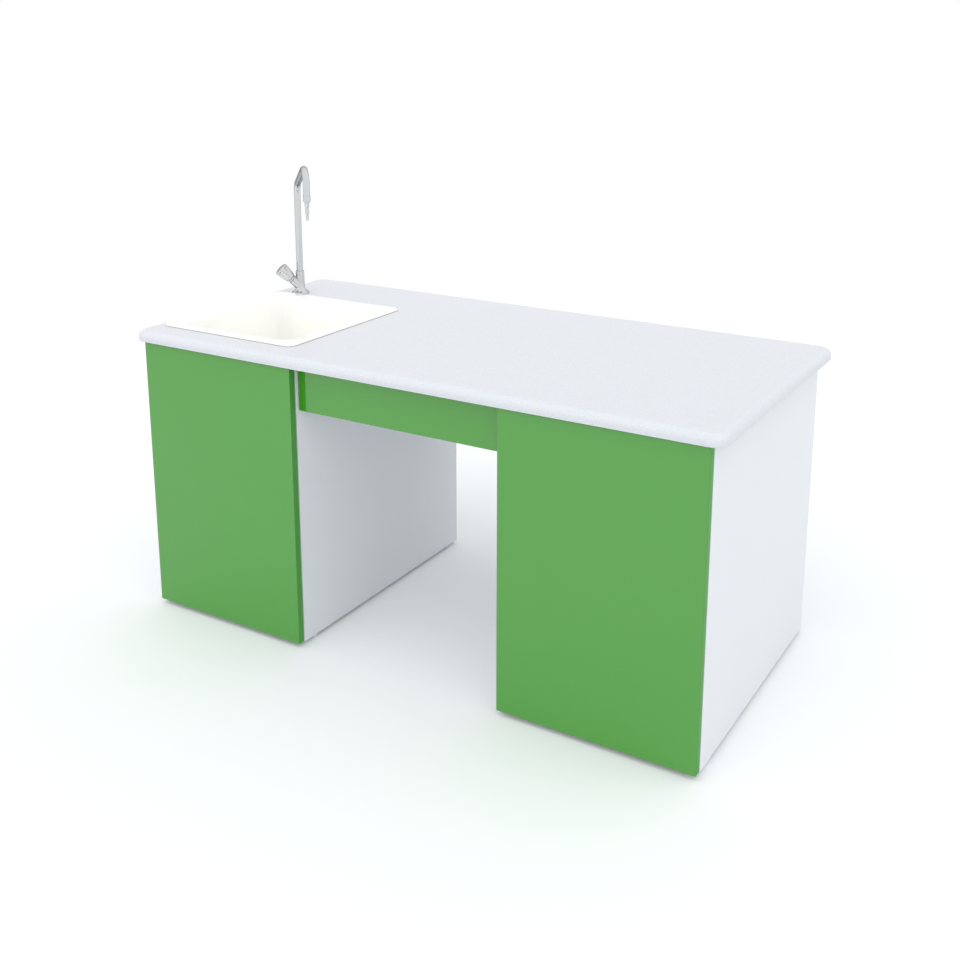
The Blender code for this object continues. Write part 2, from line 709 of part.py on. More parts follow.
def make_sink():
    centre = (bowl_x, bowl_y)
    rim_width = BOWL_WIDTH + 2 * RIM_LAND
    rim_length = BOWL_LENGTH + 2 * RIM_LAND
    under_rim = TOP_HEIGHT + FIT

    def around(grow, radius, level):
        return rounded_rectangle(centre, BOWL_WIDTH + 2 * grow, BOWL_LENGTH + 2 * grow, radius, level)

    def rim(inset, level):
        return rounded_rectangle(centre, rim_width - 2 * inset, rim_length - 2 * inset,
                                 RIM_CORNER - inset, level)

    def circle(radius, level):
        # Has as many points as the rectangles, evenly spaced, so that the rings pair up.
        count = 4 * (CORNER_STEPS + 1)
        angles = [2 * math.pi * (i + 0.5) / count for i in range(count)]
        return [Vector((bowl_x + radius * math.cos(a), bowl_y + radius * math.sin(a), level))
                for a in angles]

    def bowl(grow, floor):
        # Rings from the wall's foot, round the fillet, to the flat of the floor.
        rings = []
        for angle in arc(4):
            inset = BOWL_DRAFT + BOWL_FILLET * (1 - math.cos(angle))
            level = floor + (BOWL_FILLET + grow) * (1 - math.sin(angle))
            outward = grow * math.cos(angle)
            rings.append(around(outward - inset, BOWL_CORNER + outward - inset / 2, level))
        return rings

    seat = WASTE_FLANGE + WASTE_SEAT_EDGE
    rings = [circle(DRAIN_RADIUS, drain_top), circle(seat, drain_top)]
    rings += reversed(bowl(0.0, bowl_floor))
    for angle in arc(4):
        grow = LIP_RADIUS * (1 - math.cos(angle))
        rings.append(around(grow, BOWL_CORNER + grow, rim_top - LIP_RADIUS * (1 - math.sin(angle))))
    for angle in reversed(arc(3)):
        inset = RIM_EDGE * (1 - math.cos(angle))
        rings.append(rim(inset, rim_top - RIM_EDGE * (1 - math.sin(angle))))
    rings.append(rim(0.0, under_rim))
    lip = LIP_RADIUS + BOWL_WALL
    for angle in reversed(arc(3)):
        grow = lip - LIP_RADIUS * math.cos(angle)
        level = under_rim - LIP_RADIUS * (1 - math.sin(angle))
        rings.append(around(grow, BOWL_CORNER + grow, level))
    rings += bowl(BOWL_WALL, bowl_floor - BOWL_WALL)
    rings.append(circle(seat, drain_top - BOWL_WALL))
    rings.append(circle(DRAIN_RADIUS, drain_top - BOWL_WALL))
    bowl_item = loft("sink_bowl", rings, (CERAMIC, 0.15, 0.0), (bowl_x, bowl_y, TOP_HEIGHT), True)
    smooth(bowl_item)


def make_waste():
    bore = WASTE_RADIUS - WASTE_WALL
    grid = WASTE_FLANGE_THICK
    waste = turned("sink_waste", [
        (WASTE_FLANGE - grid, grid), (WASTE_FLANGE, 0), (WASTE_RADIUS, 0), (WASTE_RADIUS, -WASTE_TAIL)],
        (bowl_x, bowl_y, waste_seat), (0, 0, 1), BRIGHT)
    cut(waste, rod("waste bore", bore, (bowl_x, bowl_y, waste_end - BOARD), (0, 0, 1),
                   BOARD + WASTE_TAIL, BRIGHT))
    spots = [(0, 0)]
    for i in range(GRID_HOLES):
        angle = 2 * math.pi * (i + 0.5) / GRID_HOLES
        spots.append((GRID_RING * math.cos(angle), GRID_RING * math.sin(angle)))
    for x, y in spots:
        cut(waste, rod("grid cutter", GRID_HOLE_RADIUS,
                       (bowl_x + x, bowl_y + y, waste_seat - grid), (0, 0, 1), 3 * grid, BRIGHT, 12))
    smooth(waste)

    nut_low = drain_top - BOWL_WALL - FIT - WASTE_NUT_HEIGHT
    make_nut("waste_nut", (bowl_x, bowl_y, nut_low), WASTE_NUT_RADIUS, WASTE_NUT_HEIGHT, WASTE_RADIUS,
             8, MOULDED)


def make_nut(name, base, radius, height, tail, sides, look):
    # A flat-sided nut, its lower corners chamfered, with a bore that clears the tail it holds.
    chamfer = height / 4
    nut = turned(name, [(radius - chamfer, 0), (radius, chamfer), (radius, height)], base, (0, 0, 1),
                 look, sides)
    below = Vector(base) - Vector((0, 0, height))
    cut(nut, rod("nut bore", tail + FIT, below, (0, 0, 1), 3 * height, look))


def make_trap():
    socket = WASTE_RADIUS + FIT
    shoulder = TRAP_NUT_HEIGHT + TRAP_CAP_LIP
    low = TRAP_NUT_HEIGHT + TRAP_HEIGHT
    cap = TRAP_RADIUS + TRAP_CAP_LIP
    trap = turned("trap_bottle", [
        (0, -TRAP_NUT_HEIGHT), (socket, -TRAP_NUT_HEIGHT), (socket, 0), (TRAP_NUT_RADIUS, 0),
        (TRAP_NUT_RADIUS, -TRAP_NUT_HEIGHT), (TRAP_RADIUS, -shoulder),
        (TRAP_RADIUS, TRAP_CAP_HEIGHT - low), (cap, TRAP_CAP_HEIGHT - low - TRAP_CAP_LIP),
        (cap, TRAP_CAP_LIP - low), (cap - TRAP_CAP_LIP, -low), (0, -low)],
        (bowl_x, bowl_y, trap_top), (0, 0, 1), MOULDED)
    branch = rod("branch", TRAP_BRANCH_RADIUS, (bowl_x, bowl_y, trap_branch_z), (0, 1, 0),
                 TRAP_BRANCH_REACH, MOULDED)
    join(trap, branch)
    seat = bowl_y + TRAP_BRANCH_REACH - TRAP_SOCKET
    cut(trap, rod("socket", DRAIN_PIPE_RADIUS + FIT, (bowl_x, seat, trap_branch_z), (0, 1, 0),
                  TRAP_SOCKET + BOARD, MOULDED))
    smooth(trap)
    start = seat + FIT
    length = back_rear - start
    bore = DRAIN_PIPE_RADIUS - DRAIN_PIPE_WALL
    turned("trap_outlet", [(DRAIN_PIPE_RADIUS, 0), (DRAIN_PIPE_RADIUS, length), (bore, length),
                           (bore, 0)], (bowl_x, start, trap_branch_z), (0, 1, 0), MOULDED, looped=True)


def heading(turn):
    # A level direction, turned from straight forward towards +X.
    return Vector((math.sin(turn), -math.cos(turn), 0))


def make_tap():
    foot = Vector((tap_x, tap_y, TOP_HEIGHT + FIT))
    shank_end = -TOP_THICK - SHANK_DROP
    neck = TAP_FLANGE_HEIGHT + TAP_BODY_RADIUS / 2
    body = turned("tap_body", [
        (0, TAP_BODY_HEIGHT), (TAP_BODY_RADIUS, TAP_BODY_HEIGHT),
        (TAP_BODY_RADIUS, TAP_BODY_HEIGHT / 2), (TAP_BODY_FOOT, neck),
        (TAP_FLANGE_CROWN, TAP_FLANGE_HEIGHT), (TAP_FLANGE_RADIUS, TAP_FLANGE_EDGE),
        (TAP_FLANGE_RADIUS, 0), (SHANK_RADIUS, 0), (SHANK_RADIUS, shank_end), (0, shank_end)],
        foot, (0, 0, 1), BRIGHT)
    tilt = heading(HANDLE_TURN) * math.cos(HANDLE_TILT) + Vector((0, 0, math.sin(HANDLE_TILT)))
    root = foot + Vector((0, 0, BRANCH_RISE))
    join(body, rod("branch", BRANCH_RADIUS, root, tilt, BRANCH_LENGTH, BRIGHT))
    cut(body, rod("bonnet seat", BONNET_STUB_RADIUS + FIT, root + tilt * (BRANCH_LENGTH - BONNET_STUB),
                  tilt, BONNET_STUB + BOARD, BRIGHT, SMALL_ROUND))
    cut(body, rod("spout socket", SPOUT_RADIUS + PLAY,
                  foot + Vector((0, 0, TAP_BODY_HEIGHT - TAP_SOCKET)), (0, 0, 1),
                  TAP_SOCKET + BOARD, BRIGHT))
    smooth(body)
    make_bonnet_and_knob(root, tilt)
    make_spout(foot)
    nut_low = under_top - FIT - BACKNUT_HEIGHT
    make_nut("tap_backnut", (tap_x, tap_y, nut_low), BACKNUT_RADIUS, BACKNUT_HEIGHT, SHANK_RADIUS, 6,
             METAL)


def make_bonnet_and_knob(root, tilt):
    hex_low = BRANCH_LENGTH + FIT
    hex_high = hex_low + BONNET_HEX_LENGTH
    spindle_end = hex_high + SPINDLE_REACH
    bonnet = turned("tap_bonnet", [(BONNET_HEX, hex_low), (BONNET_HEX, hex_high)], root, tilt, BRIGHT, 6)
    join(bonnet, rod("stub", BONNET_STUB_RADIUS, root + tilt * (BRANCH_LENGTH - BONNET_STUB + FIT), tilt,
                     BONNET_STUB + BONNET_HEX_LENGTH / 2, BRIGHT, SMALL_ROUND))
    join(bonnet, rod("spindle", SPINDLE_RADIUS, root + tilt * (hex_low + BONNET_HEX_LENGTH / 2), tilt,
                     SPINDLE_REACH + BONNET_HEX_LENGTH / 2, BRIGHT, SMALL_ROUND))
    smooth(bonnet)

    # The knob widens towards its domed end and has soft flutes for the fingers.
    start = hex_high + KNOB_GAP
    shoulder = start + KNOB_LENGTH - KNOB_DOME
    bore = SPINDLE_RADIUS + FIT
    profile = [(0, spindle_end + FIT), (bore, spindle_end + FIT), (bore, start)]
    steps = 6
    for i in range(steps + 1):
        share = i / steps
        swell = math.sin(share * math.pi / 2)
        profile.append((KNOB_NECK + (KNOB_RADIUS - KNOB_NECK) * swell, start + (shoulder - start) * share))
    for angle in arc(4)[1:-1]:
        reach = KNOB_RADIUS * math.cos(angle) ** KNOB_CROWN_POWER
        profile.append((reach, shoulder + KNOB_DOME * math.sin(angle)))
    profile.append((0, shoulder + KNOB_DOME))

    def flute(radius, along, angle):
        if radius <= bore or along >= shoulder:
            return 0.0
        rise = math.sin(math.pi / 2 * (along - start) / (shoulder - start))
        return KNOB_FLUTE * rise * (1 + math.cos(KNOB_LOBES * angle))

    turned("tap_knob", profile, root, tilt, BRIGHT, 8 * KNOB_LOBES, flute=flute)


def spout_path():
    # Points in the spout's own upright plane: reach from the column and height over the foot.
    points = [(0, TAP_BODY_HEIGHT - TAP_SOCKET + FIT), (0, SPOUT_RISE)]
    steps = 7
    for i in range(1, steps + 1):
        angle = FIRST_BEND * i / steps
        points.append((FIRST_BEND_RADIUS * (1 - math.cos(angle)),
                       SPOUT_RISE + FIRST_BEND_RADIUS * math.sin(angle)))
    bend_reach, bend_height = points[-1]
    arm_reach = bend_reach + SPOUT_ARM * math.sin(FIRST_BEND)
    arm_height = bend_height + SPOUT_ARM * math.cos(FIRST_BEND)
    points.append((arm_reach, arm_height))
    centre_reach = arm_reach + LAST_BEND_RADIUS * math.cos(FIRST_BEND)
    centre_height = arm_height - LAST_BEND_RADIUS * math.sin(FIRST_BEND)
    steps = 11
    for i in range(1, steps + 1):
        angle = FIRST_BEND + (math.pi - FIRST_BEND) * i / steps
        points.append((centre_reach - LAST_BEND_RADIUS * math.cos(angle),
                       centre_height + LAST_BEND_RADIUS * math.sin(angle)))
    end_reach, end_height = points[-1]
    points.append((end_reach, end_height - SPOUT_LEG + COLLAR_FLOOR + FIT))
    return points


def make_spout(foot):
    ahead = heading(SPOUT_TURN)
    across = ahead.cross(Vector((0, 0, 1)))
    path = [foot + ahead * reach + Vector((0, 0, height)) for reach, height in spout_path()]
    rings = []
    for i, point in enumerate(path):
        before = path[max(i - 1, 0)]
        after = path[min(i + 1, len(path) - 1)]
        along = (after - before).normalized()
        up = across.cross(along)
        rings.append([point + SPOUT_RADIUS * (math.cos(a) * across + math.sin(a) * up)
                      for a in (2 * math.pi * k / SMALL_ROUND for k in range(SMALL_ROUND))])
    smooth(loft("tap_spout", rings, BRIGHT, foot))

    # The nozzle: a collar over the spout's end and a stepped tail for a hose.
    reach, height = spout_path()[-1]
    floor = height - FIT
    base = foot + ahead * reach + Vector((0, 0, floor))
    socket = SPOUT_RADIUS + FIT
    tail = [(NOZZLE_TOP_BARB, 0.15), (NOZZLE_TOP_BARB, 0.20), (NOZZLE_NECK, 0.33),
            (NOZZLE_LOW_BARB, 0.52), (NOZZLE_LOW_BARB, 0.60), (NOZZLE_TIP, 0.74), (NOZZLE_TIP, 1.0)]
    collar_top = COLLAR_LENGTH - COLLAR_FLOOR
    profile = [(NOZZLE_BORE, 0), (socket, 0), (socket, collar_top), (COLLAR_RADIUS, collar_top),
               (COLLAR_RADIUS, -COLLAR_FLOOR / 2), (COLLAR_RADIUS - COLLAR_EASE, -COLLAR_FLOOR)]
    profile += [(radius, -COLLAR_FLOOR - NOZZLE_LENGTH * share) for radius, share in tail]
    profile.append((NOZZLE_BORE, -COLLAR_FLOOR - NOZZLE_LENGTH))
    turned("tap_nozzle", profile, base, (0, 0, 1), BRIGHT, origin=foot, looped=True)


def main():
    clear_scene()
    make_worktop()
    make_left_pedestal()
    make_right_pedestal()
    make_stretcher()
    make_glides()
    for side, word in ((-1, "left"), (1, "right")):
        make_door(side, word)
        for label, level in zip(("lower", "upper"), hinge_levels()):
            make_hinge(side, word, label, level)
        make_latch(side, word)
    make_drawer()
    make_sink()
    make_waste()
    make_trap()
    make_tap()


main()
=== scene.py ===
# Looks of a laboratory table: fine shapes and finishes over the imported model, in metres.
import json
from math import cos, pi, radians, sin, sqrt

import bmesh
import bpy
from mathutils import Matrix, Vector


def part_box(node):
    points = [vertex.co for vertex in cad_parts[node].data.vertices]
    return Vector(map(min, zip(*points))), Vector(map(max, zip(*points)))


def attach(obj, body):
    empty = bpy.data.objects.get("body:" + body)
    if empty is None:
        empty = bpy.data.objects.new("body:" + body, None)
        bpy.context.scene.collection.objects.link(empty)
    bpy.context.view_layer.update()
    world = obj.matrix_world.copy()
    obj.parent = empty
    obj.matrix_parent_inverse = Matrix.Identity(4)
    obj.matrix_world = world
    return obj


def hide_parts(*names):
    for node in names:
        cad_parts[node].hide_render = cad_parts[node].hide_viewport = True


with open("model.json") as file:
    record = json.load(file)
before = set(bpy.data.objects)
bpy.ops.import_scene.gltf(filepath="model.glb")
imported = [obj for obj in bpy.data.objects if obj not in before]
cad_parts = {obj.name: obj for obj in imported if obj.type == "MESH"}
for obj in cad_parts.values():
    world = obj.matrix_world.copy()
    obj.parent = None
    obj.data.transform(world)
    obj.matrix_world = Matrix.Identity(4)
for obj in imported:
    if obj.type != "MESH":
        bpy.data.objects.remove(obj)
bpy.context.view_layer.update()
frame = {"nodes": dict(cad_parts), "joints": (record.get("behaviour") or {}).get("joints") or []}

nodes = frame["nodes"]
scene = bpy.context.scene
joints = {joint["name"]: joint for joint in frame["joints"]}
up = Vector((0, 0, 1))
back = Vector((0, 1, 0))
white = (1.0, 1.0, 1.0, 1.0)


# Shader helpers

def addNode(tree, kind, inputs=None, **settings):
    # An input given as another node's socket is linked, any other is set.
    node = tree.nodes.new("ShaderNode" + kind)
    for key, value in settings.items():
        setattr(node, key, value)
    for key, value in (inputs or {}).items():
        if isinstance(value, bpy.types.NodeSocket):
            tree.links.new(value, node.inputs[key])
        else:
            node.inputs[key].default_value = value
    return node


def mathNode(tree, operation, first, second, clamp=False):
    inputs = {0: first, 1: second}
    return addNode(tree, "Math", inputs, operation=operation, use_clamp=clamp).outputs[0]


def mixColour(tree, factor, first, second):
    # Sockets 6 and 7 are the two colours, and output 2 is the mixed one.
    inputs = {0: factor, 6: first, 7: second}
    return addNode(tree, "Mix", inputs, data_type="RGBA").outputs[2]


def remap(tree, value, low, high, newLow=0.0, newHigh=1.0):
    inputs = {"Value": value, "From Min": low, "From Max": high, "To Min": newLow, "To Max": newHigh}
    return addNode(tree, "MapRange", inputs, interpolation_type="SMOOTHSTEP").outputs["Result"]


def objectPlace(tree):
    return addNode(tree, "TexCoord").outputs["Object"]


def noiseValue(tree, place, size, inputs):
    # Noise with features of the given size.
    scale = mathNode(tree, "DIVIDE", 1.0, size)
    return addNode(tree, "TexNoise", {"Vector": place, "Scale": scale, **inputs}).outputs[0]


def newGroup(name, inputs, output, outputType="NodeSocketFloat"):
    # A group with one output. Inputs are given by usual values, a colour as a tuple.
    tree = bpy.data.node_groups.new(name, "ShaderNodeTree")
    for label, value in inputs.items():
        kind = "NodeSocketColor" if isinstance(value, tuple) else "NodeSocketFloat"
        tree.interface.new_socket(name=label, in_out="INPUT", socket_type=kind).default_value = value
    tree.interface.new_socket(name=output, in_out="OUTPUT", socket_type=outputType)
    source = tree.nodes.new("NodeGroupInput")
    return tree, source.outputs, tree.nodes.new("NodeGroupOutput").inputs[0]


def useGroup(tree, group, values):
    return addNode(tree, "Group", values, node_tree=group).outputs[0]


# Effects that several finishes share

def makeSpeckle():
    # Round flecks in some of the cells of a fine mesh of cells, from faint to full.
    disc = dict(full=0.3, gone=0.55)
    faintest = 0.4
    tree, source, result = newGroup(
        "fineSpeckle", {"Ground": white, "Fleck": white, "Fleck Size": 0.002, "Fleck Share": 0.2},
        "Color", "NodeSocketColor")
    scale = mathNode(tree, "DIVIDE", 1.0, source["Fleck Size"])
    cells = addNode(tree, "TexVoronoi", {"Vector": objectPlace(tree), "Scale": scale}).outputs
    lots = addNode(tree, "SeparateColor", {0: cells["Color"]}).outputs
    chosen = mathNode(tree, "LESS_THAN", lots[0], source["Fleck Share"])
    dot = remap(tree, cells["Distance"], disc["full"], disc["gone"], 1.0, 0.0)
    tone = mathNode(tree, "ADD", mathNode(tree, "MULTIPLY", lots[1], 1 - faintest), faintest)
    mask = mathNode(tree, "MULTIPLY", mathNode(tree, "MULTIPLY", chosen, dot), tone)
    tree.links.new(mixColour(tree, mask, source["Ground"], source["Fleck"]), result)
    return tree


def makeSlowTone():
    # A wide, faint drift of brightness, as on any large sheet.
    tree, source, result = newGroup("slowTone", {"Color": white, "Amount": 0.03, "Patch": 0.3},
                                    "Color", "NodeSocketColor")
    drift = noiseValue(tree, objectPlace(tree), source["Patch"], {"Detail": 3.0})
    lean = mathNode(tree, "MULTIPLY", mathNode(tree, "SUBTRACT", drift, 0.5), source["Amount"])
    gain = mathNode(tree, "ADD", lean, 1.0)
    tint = addNode(tree, "VectorMath", {0: source["Color"], "Scale": gain}, operation="SCALE")
    tree.links.new(tint.outputs[0], result)
    return tree


def makeWipeMarks():
    # Roughness that wanders in long faint strokes where a cloth has passed.
    stretch = {"Rotation": (0.4, 0.3, 0.5), "Scale": (1.0, 5.0, 2.0)}
    tree, source, result = newGroup("wipeMarks", {"Roughness": 0.3, "Spread": 0.05, "Stroke": 0.15},
                                    "Roughness")
    lay = addNode(tree, "Mapping", {"Vector": objectPlace(tree), **stretch})
    strokes = noiseValue(tree, lay.outputs[0], source["Stroke"], {"Detail": 5.0, "Distortion": 0.8})
    lean = mathNode(tree, "SUBTRACT", strokes, 0.5)
    wander = mathNode(tree, "MULTIPLY", lean, mathNode(tree, "MULTIPLY", source["Spread"], 2.0))
    tree.links.new(mathNode(tree, "ADD", source["Roughness"], wander, True), result)
    return tree


def makePeel():
    # The slight waviness of pressed or sprayed skins.
    tree, source, result = newGroup("skinPeel", {"Grain": 0.001}, "Height")
    waves = noiseValue(tree, objectPlace(tree), source["Grain"], {"Detail": 2.0, "Roughness": 0.45})
    tree.links.new(waves, result)
    return tree


def makeEdgeRubAndHighlight():
    # A mask that is 1 on sharp edges, from how far the softened normal leans away. Finishes lighten
    # their edges by it, partly as rubbed wear and partly as a painted highlight.
    lean = dict(full=0.8, gone=0.99)
    tree, source, result = newGroup("edgeRubAndHighlight", {"Radius": 0.001}, "Mask")
    soft = addNode(tree, "Bevel", {"Radius": source["Radius"]}, samples=4).outputs[0]
    plain = addNode(tree, "NewGeometry").outputs["Normal"]
    match = addNode(tree, "VectorMath", {0: plain, 1: soft}, operation="DOT_PRODUCT")
    tree.links.new(remap(tree, match.outputs["Value"], lean["full"], lean["gone"], 1.0, 0.0), result)
    return tree


speckle = makeSpeckle()
slowTone = makeSlowTone()
wipeMarks = makeWipeMarks()
skinPeel = makePeel()
edgeRubAndHighlight = makeEdgeRubAndHighlight()
print("shared effects made")


# Finishes

usualLook = dict(fixed={}, patch=0.35, flecks=(), stroke=0.15, peel=0.2)


def makeFinish(name, ownLook):
    # Drifting tone, flecks, edges lightened if any as rubbed wear and as a painted highlight, wiped
    # gloss and a fine peel.
    look = {**usualLook, **ownLook}
    material = bpy.data.materials.new(name)
    material.use_nodes = True
    tree = material.node_tree
    shader = tree.nodes["Principled BSDF"].inputs
    for key, value in look["fixed"].items():
        shader[key].default_value = value
    colour = useGroup(tree, slowTone, {
        "Color": look["colour"], "Amount": look["drift"], "Patch": look["patch"]})
    for fleck, size, share in look["flecks"]:
        colour = useGroup(tree, speckle, {
            "Ground": colour, "Fleck": fleck, "Fleck Size": size, "Fleck Share": share})
    # Edges are mixed towards a lighter colour: partly rubbed wear, partly a painted highlight.
    if "rub" in look:
        edges = useGroup(tree, edgeRubAndHighlight, {"Radius": look["edge"]})
        rubbedAndLit = mathNode(tree, "MULTIPLY", edges, look["rub"])
        colour = mixColour(tree, rubbedAndLit, colour, look["rubAndHighlightColour"])
    gloss = useGroup(tree, wipeMarks, {
        "Roughness": look["roughness"], "Spread": look["spread"], "Stroke": look["stroke"]})
    height = useGroup(tree, skinPeel, {"Grain": look["grain"]})
    bump = addNode(tree, "Bump", {
        "Strength": look["bump"], "Height": height, "Distance": look["grain"] * look["peel"]})
    tree.links.new(colour, shader["Base Color"])
    tree.links.new(gloss, shader["Roughness"])
    tree.links.new(bump.outputs["Normal"], shader["Normal"])
    return material


# Each fleck is a colour, a size and a share of the cells.
worktopLaminate = makeFinish("worktopLaminate", dict(
    colour=(0.688, 0.714, 0.755, 1.0), drift=0.02, roughness=0.34, spread=0.06,
    flecks=(((0.8, 0.82, 0.84, 1.0), 0.0026, 0.3), ((0.6, 0.63, 0.69, 1.0), 0.0019, 0.22),
            ((0.5, 0.55, 0.62, 1.0), 0.0011, 0.16)),
    grain=0.0009, bump=0.1,
))
whiteLaminate = makeFinish("whiteLaminate", dict(
    colour=(0.806, 0.833, 0.868, 1.0), drift=0.025, roughness=0.4, spread=0.06, grain=0.0008, bump=0.16,
))
whiteEdgeBand = makeFinish("whiteEdgeBand", dict(
    colour=(0.79, 0.812, 0.848, 1.0), drift=0.02, roughness=0.3, spread=0.05, grain=0.0016, bump=0.08,
))
whiteBackBoard = makeFinish("whiteBackBoard", dict(
    colour=(0.7, 0.71, 0.725, 1.0), drift=0.05, roughness=0.52, spread=0.08,
    flecks=(((0.61, 0.62, 0.63, 1.0), 0.0016, 0.12),), grain=0.0012, bump=0.22,
))
rawBoard = makeFinish("rawBoard", dict(
    colour=(0.37, 0.26, 0.17, 1.0), drift=0.15, roughness=0.85, spread=0.05,
    flecks=(((0.49, 0.37, 0.25, 1.0), 0.003, 0.45), ((0.21, 0.14, 0.09, 1.0), 0.0022, 0.25)),
    grain=0.002, bump=0.6,
))
greenGloss = makeFinish("greenGloss", dict(
    colour=(0.046, 0.308, 0.012, 1.0), drift=0.06, roughness=0.16, spread=0.05, grain=0.006, bump=0.035,
    edge=0.0018, rub=0.12, rubAndHighlightColour=(0.16, 0.44, 0.1, 1.0),
    fixed={"Specular IOR Level": 0.0, "Coat Weight": 1.0, "Coat IOR": 1.85, "Coat Roughness": 0.03},
))
greenEdgeBand = makeFinish("greenEdgeBand", dict(
    colour=(0.078, 0.31, 0.058, 1.0), drift=0.05, roughness=0.42, spread=0.06, grain=0.0012, bump=0.08,
    edge=0.0016, rub=0.1, rubAndHighlightColour=(0.17, 0.44, 0.12, 1.0), fixed={"Specular IOR Level": 0.22},
))
sinkGlaze = makeFinish("sinkGlaze", dict(
    colour=(0.985, 0.982, 0.945, 1.0), drift=0.01, roughness=0.14, spread=0.05, grain=0.008, bump=0.03,
    fixed={"Coat Weight": 0.6, "Coat Roughness": 0.04},
))
whitePlastic = makeFinish("whitePlastic", dict(
    colour=(0.69, 0.69, 0.677, 1.0), drift=0.04, roughness=0.36, spread=0.07, grain=0.0006, bump=0.12,
))
# Grey of sealant and of the latch plungers' soft tips. On the sink's bead it also stands for painted
# shade along the rim.
greySealAndRimShade = makeFinish("greySealAndRimShade", dict(
    colour=(0.435, 0.426, 0.391, 1.0), drift=0.1, roughness=0.42, spread=0.08, grain=0.003, bump=0.2,
))
tapChrome = makeFinish("tapChrome", dict(
    colour=(0.665, 0.676, 0.686, 1.0), drift=0.08, patch=0.05, edge=0.0012, rub=0.5,
    rubAndHighlightColour=(0.8, 0.81, 0.82, 1.0), roughness=0.14, spread=0.05, stroke=0.012, grain=0.006, bump=0.03,
    fixed={"Metallic": 1.0, "Specular Tint": (0.3, 0.31, 0.33, 1.0)},
))
zincSteel = makeFinish("zincSteel", dict(
    colour=(0.56, 0.575, 0.585, 1.0), drift=0.2, patch=0.05,
    flecks=(((0.68, 0.69, 0.7, 1.0), 0.005, 0.45),), edge=0.0008, rub=0.4,
    rubAndHighlightColour=(0.78, 0.78, 0.78, 1.0), roughness=0.34, spread=0.1, stroke=0.03, grain=0.001, bump=0.1,
    fixed={"Metallic": 1.0},
))
print("finishes made")


# Mesh helpers

fit = 0.0003  # air between two pieces that fit together
past = 0.02  # how far a cutting shape stands out of the face it enters
square = 0.999  # how much of a face's normal lies along an axis when it is square to it


def quarterArc(steps):
    return [pi / 2 * i / steps for i in range(steps + 1)]


def quarterRound(radius, steps):
    # How far the points of a quarter circle lie from the two lines that it joins.
    return [(radius * (1 - cos(a)), radius * (1 - sin(a))) for a in quarterArc(steps)]


def shares(steps):
    return [i / steps for i in range(1, steps + 1)]


def insetOutline(low, high, inset, radius, level, steps):
    # A rounded rectangle that lies inset in a box.
    left, right = low.x + inset + radius, high.x - inset - radius
    front, rear = low.y + inset + radius, high.y - inset - radius
    points = []
    for quarter, (x, y) in enumerate(((right, rear), (left, rear), (left, front), (right, front))):
        for step in range(steps + 1):
            angle = pi / 2 * (quarter + step / steps)
            points.append(Vector((x + radius * cos(angle), y + radius * sin(angle), level)))
    return points


def skinRings(rings, looped=False):
    # Joins rings of equal count. A ring of one point is a tip, and open ends get flat caps.
    shape = bmesh.new()
    made = [[shape.verts.new(point) for point in ring] for ring in rings]
    pairs = list(zip(made, made[1:]))
    if looped:
        pairs.append((made[-1], made[0]))
    for first, second in pairs:
        count = max(len(first), len(second))
        for i in range(count):
            j = (i + 1) % count
            if len(first) == 1:
                shape.faces.new((first[0], second[i], second[j]))
            elif len(second) == 1:
                shape.faces.new((first[i], first[j], second[0]))
            else:
                shape.faces.new((first[i], first[j], second[j], second[i]))
    if not looped:
        for end in (made[0], made[-1]):
            if len(end) > 1:
                shape.faces.new(end)
    bmesh.ops.recalc_face_normals(shape, faces=shape.faces)
    return shape


def turnedShape(profile, base, direction, sides=48, flute=None, looped=False):
    # Turns (radius, distance) points about an axis. A flute gives how much radius is lost round it.
    spin = up.rotation_difference(Vector(direction).normalized()).to_matrix().to_4x4()
    stand = Matrix.Translation(Vector(base)) @ spin
    rings = []
    for radius, along in profile:
        if radius == 0:
            rings.append([stand @ Vector((0, 0, along))])
            continue
        ring = []
        for i in range(sides):
            angle = 2 * pi * i / sides
            reach = radius - (flute(radius, along, angle) if flute else 0.0)
            ring.append(stand @ Vector((reach * cos(angle), reach * sin(angle), along)))
        rings.append(ring)
    return skinRings(rings, looped)


def rodShape(radius, start, end, base, direction, sides=48):
    return turnedShape([(radius, start), (radius, end)], base, direction, sides)


def fromCorner(radius, along, steps):
    # Profile points, each given by how far it lies from a corner.
    return [(radius + outward, along + onward) for outward, onward in steps]


def easeEdges(shape, ease, steps):
    bmesh.ops.bevel(shape, geom=shape.edges[:], offset=ease, segments=steps, profile=0.5, affect="EDGES")
    return shape


def easedBox(low, high, ease, steps):
    shape = bmesh.new()
    bmesh.ops.create_cube(shape, size=1.0)
    low, high = Vector(low), Vector(high)
    bmesh.ops.scale(shape, vec=high - low, verts=shape.verts)
    bmesh.ops.translate(shape, vec=(low + high) / 2, verts=shape.verts)
    return easeEdges(shape, ease, steps)


def paintFaces(shape, index, test):
    for face in shape.faces:
        face.normal_update()
        if test(face):
            face.material_index = index


def looseObject(name, shape, materials):
    mesh = bpy.data.meshes.new(name)
    shape.to_mesh(mesh)
    shape.free()
    for material in materials:
        mesh.materials.append(material)
    item = bpy.data.objects.new(name, mesh)
    scene.collection.objects.link(item)
    return item


def joinHairs(mesh):
    # A cut can leave points a few microns apart, with flat slivers between them.
    hair = 4e-6
    shape = bmesh.new()
    shape.from_mesh(mesh)
    bmesh.ops.remove_doubles(shape, verts=shape.verts, dist=hair)
    bmesh.ops.dissolve_degenerate(shape, edges=shape.edges, dist=hair)
    shape.to_mesh(mesh)
    shape.free()


